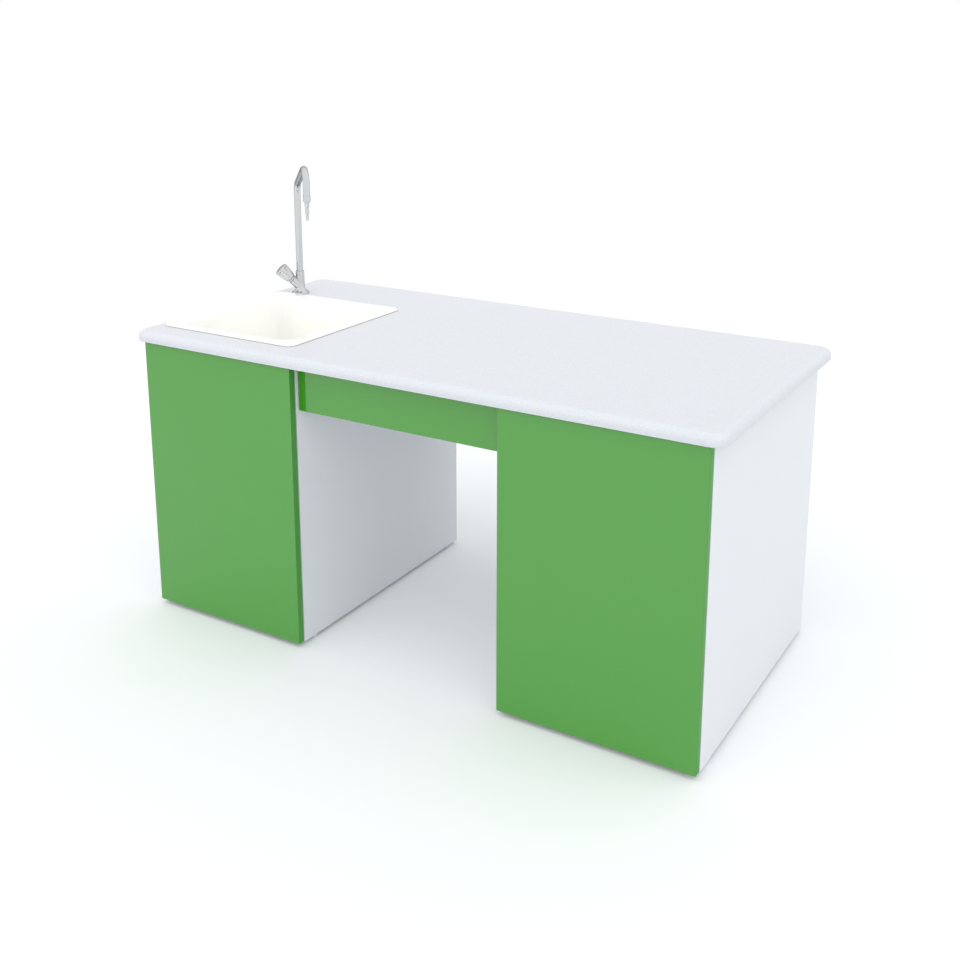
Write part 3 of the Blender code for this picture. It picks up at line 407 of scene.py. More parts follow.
def solveWith(item, shapes, material, operation):
    # Cuts shapes out of an item or joins them to it, and keeps the result as its mesh.
    tools = [looseObject("tool", shape, [material]) for shape in shapes]
    for tool in tools:
        step = item.modifiers.new("step", "BOOLEAN")
        step.operation = operation
        step.object = tool
        step.material_mode = "TRANSFER"
    bpy.context.view_layer.update()
    graph = bpy.context.evaluated_depsgraph_get()
    solved = bpy.data.meshes.new_from_object(item.evaluated_get(graph))
    item.modifiers.clear()
    spent = item.data
    item.data = solved
    solved.name = item.name
    bpy.data.meshes.remove(spent)
    joinHairs(solved)
    for tool in tools:
        bpy.data.objects.remove(tool, do_unlink=True)
    return item


def cut(*shapes):
    return "DIFFERENCE", shapes


def join(*shapes):
    return "UNION", shapes


def addPiece(name, shape, skins, standsFor=(), body="table", sharp=38, steps=(), cutSkin=None):
    item = looseObject(name, shape, skins)
    for operation, shapes in steps:
        solveWith(item, shapes, cutSkin or skins[0], operation)
    item.data.shade_smooth()
    item.data.set_sharp_from_angle(angle=radians(sharp))
    item.modifiers.new("even normals", "WEIGHTED_NORMAL").keep_sharp = True
    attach(item, body)
    if standsFor:
        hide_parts(*standsFor)


# Worktop

worktop = dict(
    round=0.018, ease=0.0015, corner=0.036, roundSteps=12, easeSteps=3, cornerSteps=14, cutInset=0.0195,
    cutCorner=0.0625, cutSteps=12, tapHole=0.0115,
)
topLow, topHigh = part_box("worktop")
rimLow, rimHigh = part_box("sink_bowl")
bowlMiddle = (rimLow + rimHigh) / 2
tapFoot = Vector(joints["spout_swivel"]["pos_m"])
tapFoot.z = topHigh.z + fit


def makeWorktop():
    thick = topHigh.z - topLow.z
    corner, steps = worktop["corner"], worktop["cornerSteps"]

    def outline(inset, level):
        return insetOutline(topLow, topHigh, inset, corner - inset, level, steps)

    rings = []
    for rise, inset in quarterRound(worktop["ease"], worktop["easeSteps"]):
        rings.append(outline(inset, topLow.z + rise))
    for inset, drop in quarterRound(worktop["round"], worktop["roundSteps"]):
        rings.append(outline(inset, topHigh.z - drop))
    slab = skinRings(rings)
    paintFaces(slab, 1, lambda face: face.normal.z < -square)
    inset, corner, steps = worktop["cutInset"], worktop["cutCorner"], worktop["cutSteps"]
    hole = skinRings([insetOutline(rimLow, rimHigh, inset, corner, level, steps)
                      for level in (topLow.z - thick, topHigh.z + thick)])
    shank = rodShape(worktop["tapHole"], -3 * thick, thick, tapFoot, up)
    addPiece("worktopSlab", slab, [worktopLaminate, whiteBackBoard], ["worktop"],
             sharp=30, steps=[cut(hole, shank)], cutSkin=rawBoard)


makeWorktop()
print("worktop made")


# Boards of the carcass and the drawer box

board = dict(ease=0.0009, steps=3, edgeLean=0.9, window=(0.22, 0.2), windowCorner=0.008, windowSteps=6)
carcassBoards = [
    "left_outer_side", "left_inner_side", "left_bottom", "left_front_rail", "left_rear_rail",
    "right_outer_side", "right_inner_side", "right_bottom", "right_top", "right_shelf", "rear_stretcher",
]
drawerBoards = ["drawer_left_side", "drawer_right_side", "drawer_back", "drawer_bottom"]
thinBoards = ["left_back", "right_back"]


def boardShape(node, ease):
    # Faces across the thin way get the sheet's finish, the rest the edge band.
    low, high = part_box(node)
    size = high - low
    thin = min(range(3), key=lambda axis: size[axis])
    shape = easedBox(low, high, ease, board["steps"])
    paintFaces(shape, 1, lambda face: abs(face.normal[thin]) < board["edgeLean"])
    return shape


def windowShape(node):
    # The way in for pipes, about the outlet.
    pipeLow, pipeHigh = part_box("trap_outlet")
    middle = (pipeLow + pipeHigh) / 2
    low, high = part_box(node)
    wide, tall = board["window"]
    return easedBox((middle.x - wide / 2, low.y - past, middle.z - tall / 2),
                    (middle.x + wide / 2, high.y + past, middle.z + tall / 2),
                    board["windowCorner"], board["windowSteps"])


def pieceName(node):
    first, *rest = node.split("_")
    return first + "".join(word.capitalize() for word in rest) + "Shown"


def makeBoards():
    for node in carcassBoards + drawerBoards + thinBoards:
        thin = node in thinBoards
        body = "drawer" if node in drawerBoards else "table"
        skins = [whiteBackBoard, whiteBackBoard] if thin else [whiteLaminate, whiteEdgeBand]
        ease = board["ease"] / 2 if thin or node == "drawer_bottom" else board["ease"]
        steps = [cut(windowShape(node))] if node == "left_back" else []
        addPiece(pieceName(node), boardShape(node, ease), skins, [node], body,
                 steps=steps, cutSkin=rawBoard)


makeBoards()
print("boards made")


# Doors and drawer front

door = dict(ease=0.0018, steps=4, cupRadius=0.0178, cupDepth=0.0135, cupInward=0.0205, hingeInset=0.105)
front = dict(grip=0.009, ease=0.0014, steps=3)


def hingeLevels(low, high):
    return {"lower": low.z + door["hingeInset"], "upper": high.z - door["hingeInset"]}


def cupSpot(word, low, high):
    return low.x + door["cupInward"] if word == "left" else high.x - door["cupInward"]


def addGreenBoard(name, shape, node, body, steps):
    # Green gloss in front, white laminate behind, and a green band round the edges.
    bandLean = 0.72
    paintFaces(shape, 1, lambda face: face.normal.y > square)
    paintFaces(shape, 2, lambda face: abs(face.normal.y) < bandLean)
    addPiece(name, shape, [greenGloss, whiteLaminate, greenEdgeBand], [node], body,
             steps=steps, cutSkin=rawBoard)


def makeDoors():
    for word in ("left", "right"):
        low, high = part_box(word + "_door")
        shape = easedBox(low, high, door["ease"], door["steps"])
        bores = [rodShape(door["cupRadius"], -door["cupDepth"], past,
                          (cupSpot(word, low, high), high.y, level), back)
                 for level in hingeLevels(low, high).values()]
        addGreenBoard(word + "DoorPanel", shape, word + "_door", word + "_door", [cut(*bores)])


def makeDrawerFront():
    low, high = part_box("drawer_front")
    grip = front["grip"]
    outline = [(low.y, low.z), (high.y - grip, low.z), (high.y, low.z + 2 * grip), (high.y, high.z),
               (low.y, high.z)]
    shape = skinRings([[Vector((x, y, z)) for y, z in outline] for x in (low.x, high.x)])
    easeEdges(shape, front["ease"], front["steps"])
    addGreenBoard("drawerFrontPanel", shape, "drawer_front", "drawer", [])


makeDoors()
makeDrawerFront()
print("doors and drawer front made")


# Sink, its bead of sealant, whose grey is also painted shade along the rim, and its waste

sink = dict(
    land=0.034, corner=0.048, rimCorner=0.022, rimEdge=0.0025, lip=0.009, wall=0.004, depth=0.185,
    fall=0.004, fillet=0.036, draft=0.007, drain=0.0215, seat=0.036, steps=12, floorSteps=8,
    bowlSteps=8, rimSteps=6,
)
bead = dict(reach=0.0017, gap=0.0001, lift=0.00002, steps=5)
waste = dict(
    flange=0.033, thick=0.003, spread=1.6, domeSteps=5, radius=0.02, wall=0.003, holes=6, hole=0.0032,
    ring=0.0105,
)
wasteLow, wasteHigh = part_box("sink_waste")


def rimOutline(inset, level):
    return insetOutline(rimLow, rimHigh, inset, sink["rimCorner"] - inset, level, sink["steps"])


def makeSink():
    steps, lip, wall, corner = sink["steps"], sink["lip"], sink["wall"], sink["corner"]
    floor = rimHigh.z - sink["depth"]
    drainTop = floor - sink["fall"]
    underRim = topHigh.z + fit

    def around(grow, radius, level):
        return insetOutline(rimLow, rimHigh, sink["land"] - grow, radius, level, steps)

    def circle(radius, level):
        count = 4 * (steps + 1)
        angles = [2 * pi * (i + 0.5) / count for i in range(count)]
        return [Vector((bowlMiddle.x + radius * cos(a), bowlMiddle.y + radius * sin(a), level))
                for a in angles]

    def bowl(grow, low):
        # From the wall's foot round the fillet, then across the floor as it closes into the drain.
        rings = []
        for angle in quarterArc(sink["bowlSteps"]):
            inset = sink["draft"] + sink["fillet"] * (1 - cos(angle))
            outward = grow * cos(angle)
            rings.append(around(outward - inset, corner + outward - inset / 2,
                                low + (sink["fillet"] + grow) * (1 - sin(angle))))
        edge = rings[-1]
        seat = circle(sink["seat"], low - sink["fall"])
        for share in shares(sink["floorSteps"]):
            rings.append([a.lerp(b, share) for a, b in zip(edge, seat)])
        return rings

    rings = [circle(sink["drain"], drainTop)]
    rings += reversed(bowl(0.0, floor))
    for grow, drop in quarterRound(lip, sink["bowlSteps"]):
        rings.append(around(grow, corner + grow, rimHigh.z - drop))
    for inset, drop in reversed(quarterRound(sink["rimEdge"], sink["rimSteps"])):
        rings.append(rimOutline(inset, rimHigh.z - drop))
    rings.append(rimOutline(0.0, underRim))
    for grow, drop in reversed(quarterRound(lip, sink["rimSteps"])):
        rings.append(around(grow + wall, corner + grow + wall, underRim - drop))
    rings += bowl(wall, floor - wall)
    rings.append(circle(sink["drain"], drainTop - wall))
    addPiece("sinkShell", skinRings(rings, True), [sinkGlaze], ["sink_bowl"], sharp=45)


def makeSealAndShadeBead():
    # A hollow fillet of sealant between the rim's side and the worktop. Its grey also paints the shade
    # along the rim's foot.
    low = topHigh.z + bead["lift"]
    rings = [rimOutline(-bead["gap"], low)]
    for rise, outward in quarterRound(bead["reach"], bead["steps"]):
        rings.append(rimOutline(-bead["gap"] - outward, low + rise))
    addPiece("sinkSealAndShadeBead", skinRings(rings, True), [greySealAndRimShade])


def makeWaste():
    seat = wasteHigh.z - waste["thick"]
    tail = wasteLow.z - seat
    flange, thick, radius = waste["flange"], waste["thick"], waste["radius"]
    inner = radius - waste["wall"]
    profile = [(flange - thick * (1 - sin(a)) * waste["spread"], thick * cos(a))
               for a in quarterArc(waste["domeSteps"])]
    profile += [(radius, 0), (radius, tail), (inner, tail), (inner, 0)]
    base = Vector((bowlMiddle.x, bowlMiddle.y, seat))
    spots = [base]
    for i in range(waste["holes"]):
        angle = 2 * pi * (i + 0.5) / waste["holes"]
        spots.append(base + waste["ring"] * Vector((cos(angle), sin(angle), 0)))
    drills = [rodShape(waste["hole"], -thick, 2 * thick, spot, up, sides=24) for spot in spots]
    addPiece("wasteGrid", turnedShape(profile, base, up), [tapChrome], ["sink_waste"],
             sharp=35, steps=[cut(*drills)])


makeSink()
makeSealAndShadeBead()
makeWaste()
print("sink made")


# Tap, with profiles as points off a corner: how far outward, how far along

tap = dict(
    flange=0.0235, column=0.0118, height=0.064, ease=0.0008, rings=(0.75, 0.5),
    flare=((0.0004, 0.024), (0.001, 0.0165), (0.0022, 0.0115), (0.0048, 0.0078)),
    flangeEdge=((-0.003, 0.0058), (-0.0008, 0.0046), (0, 0.0034), (0, 0)), socket=0.022,
    socketRadius=0.0094, shank=0.01, thread=0.0015, threadDepth=0.0008, threadTop=0.001, branch=0.0123,
    branchLength=0.03, branchEase=0.0006, ballSteps=14, seat=0.0065, seatDepth=0.007,
)
bonnet = dict(
    hex=0.0126, length=0.005, chamfer=0.001, chamferRise=0.0008, stub=0.0062, stubDepth=0.0067,
    overlap=0.001, collar=0.0098, collarRise=0.0008, spindle=0.0045, reach=0.024,
)
knob = dict(
    gap=0.0008, length=0.042, neck=0.0135, neckEase=0.0012, radius=0.019, dome=0.006, lobes=5,
    lobeSides=24, flute=0.0014, crown=0.6, bodySteps=18, domeSteps=10, capRadius=0.0085, capRim=0.0006,
    capEdge=((0.0004, -0.0003), (0.0002, -0.001), (-0.0002, -0.001), (-0.0004, -0.0001), (-0.0012, 0)),
)
spout = dict(
    radius=0.009, rise=0.2805, firstRadius=0.036, firstBend=radians(66), arm=0.112, lastRadius=0.035,
    leg=0.046, turn=radians(48), sides=40, riseSteps=6, firstSteps=14, armSteps=4, lastSteps=24,
    legSteps=3,
)
# The nozzle's foot is given in shares of its floor, its tail as radii at shares of its length.
nozzle = dict(
    collar=0.01, collarLength=0.017, floor=0.003, length=0.049, bore=0.0022,
    collarEdge=((-0.0003, 0), (0, -0.0004)), grooves=(0.012, 0.009),
    groove=((0, 0.0006), (-0.0004, 0), (0, -0.0006)),
    foot=((0, 0.3), (-0.0006, 0.7), (-0.0018, 1.0)),
    tail=((0.0056, 0.1), (0.0064, 0.15), (0.0064, 0.2), (0.0058, 0.25), (0.0047, 0.33), (0.0048, 0.4),
          (0.0055, 0.5), (0.0055, 0.58), (0.004, 0.7), (0.0037, 0.76), (0.0037, 0.98), (0.0033, 1.0)),
)
knobRoot = Vector(joints["knob_turn"]["pos_m"])
knobAxis = Vector(joints["knob_turn"]["axis"]).normalized()


def makeTapBody():
    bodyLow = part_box("tap_body")[0].z - tapFoot.z
    radius, height, ease = tap["column"], tap["height"], tap["ease"]
    socket, socketLow = tap["socketRadius"], height - tap["socket"]
    shank, root = tap["shank"], tap["shank"] - tap["threadDepth"]
    profile = [(0, socketLow), (socket, socketLow), (socket, height), (radius - ease, height),
               (radius, height - ease)]
    profile += [(radius, height * share) for share in tap["rings"]]
    profile += fromCorner(radius, 0, tap["flare"])
    profile += fromCorner(tap["flange"], 0, tap["flangeEdge"])
    profile.append((shank, 0))
    turns = int((-bodyLow - 2 * tap["threadTop"]) / tap["thread"])
    for i in range(turns):
        level = -tap["threadTop"] - i * tap["thread"]
        profile += [(shank, level), (root, level - tap["thread"] / 2)]
    profile += [(root, bodyLow), (0, bodyLow)]
    reach, length = tap["branch"], tap["branchLength"]
    ball = [(0, -reach)]
    ball += [(reach * sin(a), -reach * cos(a)) for a in quarterArc(tap["ballSteps"])[1:]]
    ball += [(reach, length - tap["branchEase"]), (reach - tap["branchEase"], length)]
    branch = turnedShape(ball, knobRoot, knobAxis, sides=56)
    well = rodShape(socket, socketLow, height + past, tapFoot, up, sides=64)
    seatLow = length - tap["seatDepth"]
    seat = rodShape(tap["seat"], seatLow, length + past, knobRoot, knobAxis, sides=40)
    shape = turnedShape(profile, tapFoot, up, sides=64)
    addPiece("tapColumn", shape, [tapChrome], ["tap_body"], sharp=42,
             steps=[join(branch), cut(well, seat)])


def makeBonnet():
    low = tap["branchLength"] + fit
    high = low + bonnet["length"]
    wide, chamfer, rise = bonnet["hex"], bonnet["chamfer"], bonnet["chamferRise"]
    nut = turnedShape([(wide - chamfer, low), (wide, low + rise), (wide, high - rise),
                       (wide - chamfer, high)], knobRoot, knobAxis, sides=6)
    stubTop = low + bonnet["overlap"]
    collarTop = high + bonnet["collarRise"]
    stub = rodShape(bonnet["stub"], tap["branchLength"] - bonnet["stubDepth"], stubTop, knobRoot,
                    knobAxis, sides=32)
    stem = turnedShape([(bonnet["collar"], stubTop), (bonnet["collar"], collarTop),
                        (bonnet["spindle"], collarTop), (bonnet["spindle"], high + bonnet["reach"])],
                       knobRoot, knobAxis, sides=32)
    addPiece("tapBonnetShown", nut, [tapChrome], ["tap_bonnet"], sharp=30,
             steps=[join(stub, stem)])


def makeKnob():
    start = tap["branchLength"] + fit + bonnet["length"] + knob["gap"]
    shoulder = start + knob["length"] - knob["dome"]
    boreEnd = start - knob["gap"] + bonnet["reach"] + fit
    bore = bonnet["spindle"] + fit
    neck, ease, radius = knob["neck"], knob["neckEase"], knob["radius"]
    profile = [(0, boreEnd), (bore, boreEnd), (bore, start), (neck - ease, start), (neck, start + ease)]
    for share in shares(knob["bodySteps"]):
        profile.append((neck + (radius - neck) * sin(share * pi / 2),
                        start + (shoulder - start) * share))
    for angle in quarterArc(knob["domeSteps"])[1:-1]:
        reach = radius * cos(angle) ** knob["crown"]
        if reach > knob["capRadius"] + knob["capRim"]:
            profile.append((reach, shoulder + knob["dome"] * sin(angle)))
    end = shoulder + knob["dome"]
    profile += fromCorner(knob["capRadius"], end, knob["capEdge"])
    profile.append((0, end))

    def flute(radius, along, angle):
        if radius <= bore or along >= shoulder:
            return 0.0
        rise = sin(pi / 2 * max(0.0, along - start) / (shoulder - start))
        return knob["flute"] * rise * (1 + cos(knob["lobes"] * angle))

    shape = turnedShape(profile, knobRoot, knobAxis, knob["lobeSides"] * knob["lobes"], flute)
    addPiece("tapKnobShown", shape, [tapChrome], ["tap_knob"], "knob", sharp=42)


def spoutPath():
    # Reach from the column and height over the foot, in the spout's upright plane.
    first, last = spout["firstRadius"], spout["lastRadius"]
    bend, arm = spout["firstBend"], spout["arm"]
    foot = tap["height"] - tap["socket"] + fit
    leg = spout["leg"] - nozzle["floor"] - fit
    points = [(0, foot)]
    points += [(0, foot + (spout["rise"] - foot) * share) for share in shares(spout["riseSteps"])]
    points += [(first * (1 - cos(bend * share)), spout["rise"] + first * sin(bend * share))
               for share in shares(spout["firstSteps"])]
    reach, height = points[-1]
    points += [(reach + arm * sin(bend) * share, height + arm * cos(bend) * share)
               for share in shares(spout["armSteps"])]
    reach, height = points[-1]
    middle = (reach + last * cos(bend), height - last * sin(bend))
    for share in shares(spout["lastSteps"]):
        angle = bend + (pi - bend) * share
        points.append((middle[0] - last * cos(angle), middle[1] + last * sin(angle)))
    reach, height = points[-1]
    points += [(reach, height - leg * share) for share in shares(spout["legSteps"])]
    return points


def makeSpout():
    ahead = Vector((sin(spout["turn"]), -cos(spout["turn"]), 0))
    across = ahead.cross(up)
    path = [tapFoot + ahead * reach + up * height for reach, height in spoutPath()]
    angles = [2 * pi * i / spout["sides"] for i in range(spout["sides"])]
    rings = []
    for i, point in enumerate(path):
        along = (path[min(i + 1, len(path) - 1)] - path[max(i - 1, 0)]).normalized()
        over = across.cross(along)
        rings.append([point + spout["radius"] * (cos(a) * across + sin(a) * over) for a in angles])
    addPiece("tapSpoutShown", skinRings(rings), [tapChrome], ["tap_spout"], "spout", sharp=40)
    return path[-1]


def makeNozzle(end):
    floor, wide, bore = nozzle["floor"], nozzle["collar"], nozzle["bore"]
    socket = spout["radius"] + fit
    top = nozzle["collarLength"] - floor
    profile = [(bore, 0), (socket, 0), (socket, top)] + fromCorner(wide, top, nozzle["collarEdge"])
    for level in nozzle["grooves"]:
        profile += fromCorner(wide, level, nozzle["groove"])
    profile += [(wide + outward, -floor * share) for outward, share in nozzle["foot"]]
    profile += [(radius, -floor - nozzle["length"] * share) for radius, share in nozzle["tail"]]
    profile.append((bore, -floor - nozzle["length"]))
    shape = turnedShape(profile, end - up * fit, up, looped=True)
    addPiece("tapNozzleShown", shape, [tapChrome], ["tap_nozzle"], "spout", sharp=42)


makeTapBody()
makeBonnet()
makeKnob()
makeNozzle(makeSpout())


# Nuts under the worktop and under the sink

nut = dict(chamfer=0.2, topRise=0.4, topInset=0.5)


def makeNut(node, material, radius, sides, bore):
    low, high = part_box(node)
    height = high.z - low.z
    base = ((low.x + high.x) / 2, (low.y + high.y) / 2, low.z)
    chamfer = height * nut["chamfer"]
    shape = turnedShape([(radius - chamfer, 0), (radius, chamfer),
                         (radius, height - chamfer * nut["topRise"]),
                         (radius - chamfer * nut["topInset"], height)], base, up, sides)
    addPiece(pieceName(node), shape, [material], [node], sharp=25,
             steps=[cut(rodShape(bore, -height, 2 * height, base, up))])


makeNut("tap_backnut", zincSteel, radius=0.018, sides=6, bore=0.0103)
makeNut("waste_nut", whitePlastic, radius=0.031, sides=8, bore=0.0203)
print("tap made")


# Trap and outlet

trap = dict(
    tail=0.0203, nut=0.027, nutHeight=0.024, nutTop=((-0.0012, 0), (0, -0.0012)),
    nutFoot=((0, 0.003), (-0.0015, 0.0015)), radius=0.03,
    shoulder=((-0.004, -0.0005), (-0.001, -0.0018), (0, -0.0048)), cap=0.033, capHeight=0.024,
    capTop=((0, 0.002), (0.0005, 0), (0.003, -0.0012)),
    capFoot=((0, 0.005), (-0.0015, 0.002), (-0.006, 0.0004), (-0.01, 0)), branchDrop=0.048,
    branch=0.022, branchReach=0.052, branchEase=0.001, socket=0.018, ribs=30, rib=0.0012, ribPower=4,
    ribSides=8, ribNutEnd=0.001, ribCapEnd=0.0005, ribClear=0.002,
)
pipe = dict(radius=0.016, wall=0.0025, ease=0.0008)


def makeTrap():
    low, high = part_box("trap_bottle")
    base = Vector((bowlMiddle.x, bowlMiddle.y, high.z))
    bottom = low.z - high.z
    tail, radius = trap["tail"], trap["radius"]
    nutLow = -trap["nutHeight"]
    capTop = bottom + trap["capHeight"]
    profile = [(0, nutLow), (tail, nutLow), (tail, 0)]
    profile += fromCorner(trap["nut"], 0, trap["nutTop"])
    profile += fromCorner(trap["nut"], nutLow, trap["nutFoot"])
    profile += fromCorner(radius, nutLow, trap["shoulder"])
    profile += fromCorner(radius, capTop, trap["capTop"])
    profile += fromCorner(trap["cap"], bottom, trap["capFoot"])
    profile.append((0, bottom))

    def ribs(reach, along, angle):
        onNut = along > nutLow + trap["ribNutEnd"] and reach > tail + trap["ribClear"]
        onCap = along < capTop - trap["ribCapEnd"] and reach > radius + trap["ribClear"]
        if not onNut and not onCap:
            return 0.0
        return trap["rib"] * (0.5 + 0.5 * cos(trap["ribs"] * angle)) ** trap["ribPower"]

    shape = turnedShape(profile, base, up, trap["ribSides"] * trap["ribs"], ribs)
    start = Vector((base.x, base.y, high.z - trap["branchDrop"]))
    wide, reach, ease = trap["branch"], trap["branchReach"], trap["branchEase"]
    arm = turnedShape([(wide, 0), (wide, reach - ease), (wide - ease, reach)], start, back, sides=56)
    drill = rodShape(pipe["radius"] + fit, reach - trap["socket"], reach + past, start, back, sides=56)
    addPiece("trapShown", shape, [whitePlastic], ["trap_bottle"], sharp=35,
             steps=[join(arm), cut(drill)])


def makeOutlet():
    low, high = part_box("trap_outlet")
    middle = (low + high) / 2
    length = high.y - low.y
    outer, inner, ease = pipe["radius"], pipe["radius"] - pipe["wall"], pipe["ease"]
    profile = [(outer, 0), (outer, length - ease), (outer - ease, length), (inner, length), (inner, 0)]
    shape = turnedShape(profile, (middle.x, low.y, middle.z), back, sides=56, looped=True)
    addPiece("outletPipe", shape, [whitePlastic], ["trap_outlet"], sharp=40)


makeTrap()
makeOutlet()
print("trap made")


# Glides

glide = dict(round=0.0018, steps=5, bead=0.0012, sides=40)


def makeGlides():
    for number in range(1, 9):
        low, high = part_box(f"glide_{number}")
        middle = (low + high) / 2
        radius = (high.x - low.x) / 2
        height = high.z - low.z
        profile = [(0, 0)]
        for rise, inset in quarterRound(glide["round"], glide["steps"]):
            profile.append((radius - inset, rise))
        profile += [(radius, height - glide["bead"]), (radius - glide["bead"] / 2, height), (0, height)]
        shape = turnedShape(profile, (middle.x, middle.y, low.z), up, glide["sides"])
        addPiece(f"glideShown{number}", shape, [whitePlastic], [f"glide_{number}"])


makeGlides()
print("glides made")


# Screw heads, in groups that share a body

screw = dict(
    radius=0.0033, height=0.0015, side=0.25, crown=0.7, steps=7, sides=28, slot=0.0005, slotReach=0.002,
    slotDepth=0.001, slotEase=0.0001, turn=0.7,
)


def makeScrewHead():
    # A domed head with a cross recess, standing at the origin, to be copied.
    radius, height, side = screw["radius"], screw["height"], screw["side"]
    profile = [(radius, 0.0)]
    profile += [(radius * cos(a) ** screw["crown"], height * (side + (1 - side) * sin(a)))
                for a in quarterArc(screw["steps"])[:-1]]
    profile.append((0, height))
    head = looseObject("screwHead", turnedShape(profile, (0, 0, 0), up, screw["sides"]), [zincSteel])
    floor = height - screw["slotDepth"]
    bars = [easedBox((-wide, -deep, floor), (wide, deep, 2 * height), screw["slotEase"], 1)
            for wide, deep in ((screw["slotReach"], screw["slot"]), (screw["slot"], screw["slotReach"]))]
    return solveWith(head, bars, zincSteel, "DIFFERENCE")


def addScrews(name, spots, direction, body):
    face = up.rotation_difference(Vector(direction)).to_matrix().to_4x4()
    group = bmesh.new()
    for number, spot in enumerate(spots):
        before = len(group.verts)
        group.from_mesh(screwHead.data)
        group.verts.ensure_lookup_table()
        stand = Matrix.Translation(Vector(spot)) @ face @ Matrix.Rotation(screw["turn"] * number, 4, "Z")
        bmesh.ops.transform(group, matrix=stand, verts=group.verts[before:])
    addPiece(name, group, [zincSteel], body=body, sharp=35)


screwHead = makeScrewHead()


# Hinges

hingeCup = dict(
    radius=0.0175, wall=0.001, depth=0.0132, plate=0.001,
    foot=((-0.002, 0), (-0.0006, 0.0006), (0, 0.002)), earLength=0.052, earWidth=0.022,
    earEase=0.0003, earSteps=8, pin=0.0012, screwReach=0.0207,
)
hingePlate = dict(thick=0.0025, length=0.03, screwReach=0.016)


def makeHingeCup(word, label, level):
    side = -1 if word == "left" else 1
    low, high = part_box(word + "_door")
    cupX = cupSpot(word, low, high)
    width, length, wall = hingeCup["earWidth"], hingeCup["earLength"], hingeCup["wall"]
    earX = cupX - side * width / 4
    earLow = high.y + fit
    earTop = earLow + hingeCup["plate"]
    ease = hingeCup["earEase"]

    def pressed(radius, foot, end):
        profile = [(0, foot)] + fromCorner(radius, foot, hingeCup["foot"]) + [(radius, end)]
        return turnedShape(profile, (cupX, high.y, level), back, sides=56)

    def earRing(inset, y):
        half = Vector((width, length, 0)) / 2
        spot = Vector((earX, level, 0))
        ring = insetOutline(spot - half, spot + half, inset, width / 3 - inset, 0, hingeCup["earSteps"])
        return [Vector((point.x, y, point.y)) for point in ring]

    cup = pressed(hingeCup["radius"], -hingeCup["depth"], earTop - high.y)
    ears = skinRings([earRing(0.0, earLow), earRing(0.0, earTop - ease), earRing(ease, earTop)])
    inner = hingeCup["radius"] - wall
    hollow = pressed(inner, wall - hingeCup["depth"], past)
    axis = Vector(joints[word + "_door_hinge"]["pos_m"])
    pin = hingeCup["pin"]
    half = sqrt((inner + wall / 2) ** 2 - (abs(axis.x - cupX) + pin) ** 2)
    rod = rodShape(pin, -half, half, (axis.x, axis.y, level), up, sides=24)
    addPiece(word + label.capitalize() + "CupShown", cup, [zincSteel],
             [f"{word}_{label}_hinge_cup"], word + "_door", sharp=35,
             steps=[join(ears), cut(hollow), join(rod)])
    return [(earX, earTop, level + way * hingeCup["screwReach"]) for way in (-1, 1)]


def makeHinges():
    for word, facing in (("left", 1), ("right", -1)):
        doorLow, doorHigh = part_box(word + "_door")
        sideLow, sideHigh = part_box(word + "_outer_side")
        sideFace = sideHigh.x if facing > 0 else sideLow.x
        plateFace = sideFace + facing * (fit + hingePlate["thick"])
        cupSpots = []
        plateSpots = []
        for label, level in hingeLevels(doorLow, doorHigh).items():
            cupSpots += makeHingeCup(word, label, level)
            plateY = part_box(f"{word}_{label}_hinge_arm")[1].y - hingePlate["length"] / 2
            reach = hingePlate["screwReach"]
            plateSpots += [(plateFace, plateY, level + way * reach) for way in (-1, 1)]
        addScrews(word + "CupScrews", cupSpots, back, word + "_door")
        addScrews(word + "PlateScrews", plateSpots, (facing, 0, 0), "table")


makeHinges()
print("hinges made")


# Push latches

latch = dict(ease=0.0025, steps=4, bore=0.0044, boreDepth=0.0249, sides=32, screwInset=0.013)
# The plunger's nose is given in shares of its radius, at distances from its tip.
plunger = dict(
    nose=((0.6, 0.0001), (0.88, 0.0007), (1.0, 0.0018)), tip=0.0036, ease=0.0003,
    groove=((0, 0), (-0.0004, 0.0002), (-0.0004, 0.0009), (0, 0.0011)),
)


def makeCase(word, low, high, middle):
    shape = easedBox(low, high, latch["ease"], latch["steps"])
    bore = rodShape(latch["bore"], -past, latch["boreDepth"], (middle.x, low.y, middle.z), back,
                    latch["sides"])
    addPiece(word + "LatchCaseShown", shape, [whitePlastic], [word + "_latch_case"],
             sharp=35, steps=[cut(bore)])


def makePlunger(word, low, high, middle):
    # The tip is soft and grey.
    radius = (high.x - low.x) / 2
    length = high.y - low.y
    tip, ease = plunger["tip"], plunger["ease"]
    profile = [(0, 0)] + [(radius * share, along) for share, along in plunger["nose"]]
    profile += fromCorner(radius, tip, plunger["groove"])
    profile += [(radius, length - ease), (radius - ease, length), (0, length)]
    shape = turnedShape(profile, (middle.x, low.y, middle.z), back, latch["sides"])
    paintFaces(shape, 1, lambda face: face.calc_center_median().y < low.y + tip)
    addPiece(word + "PlungerShown", shape, [whitePlastic, greySealAndRimShade],
             [word + "_latch_plunger"], word + "_plunger", sharp=35)


def makeLatches():
    for word, facing in (("left", -1), ("right", 1)):
        low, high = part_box(word + "_latch_case")
        rodLow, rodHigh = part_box(word + "_latch_plunger")
        middle = (rodLow + rodHigh) / 2
        makeCase(word, low, high, middle)
        makePlunger(word, rodLow, rodHigh, middle)
        face = high.x if facing > 0 else low.x
        ends = (low.y + latch["screwInset"], high.y - latch["screwInset"])
        addScrews(word + "LatchScrews", [(face, y, middle.z) for y in ends], (facing, 0, 0), "table")


makeLatches()
bpy.data.objects.remove(screwHead, do_unlink=True)
print("latches made")


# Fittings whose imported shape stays: pegs, runners and hinge arms

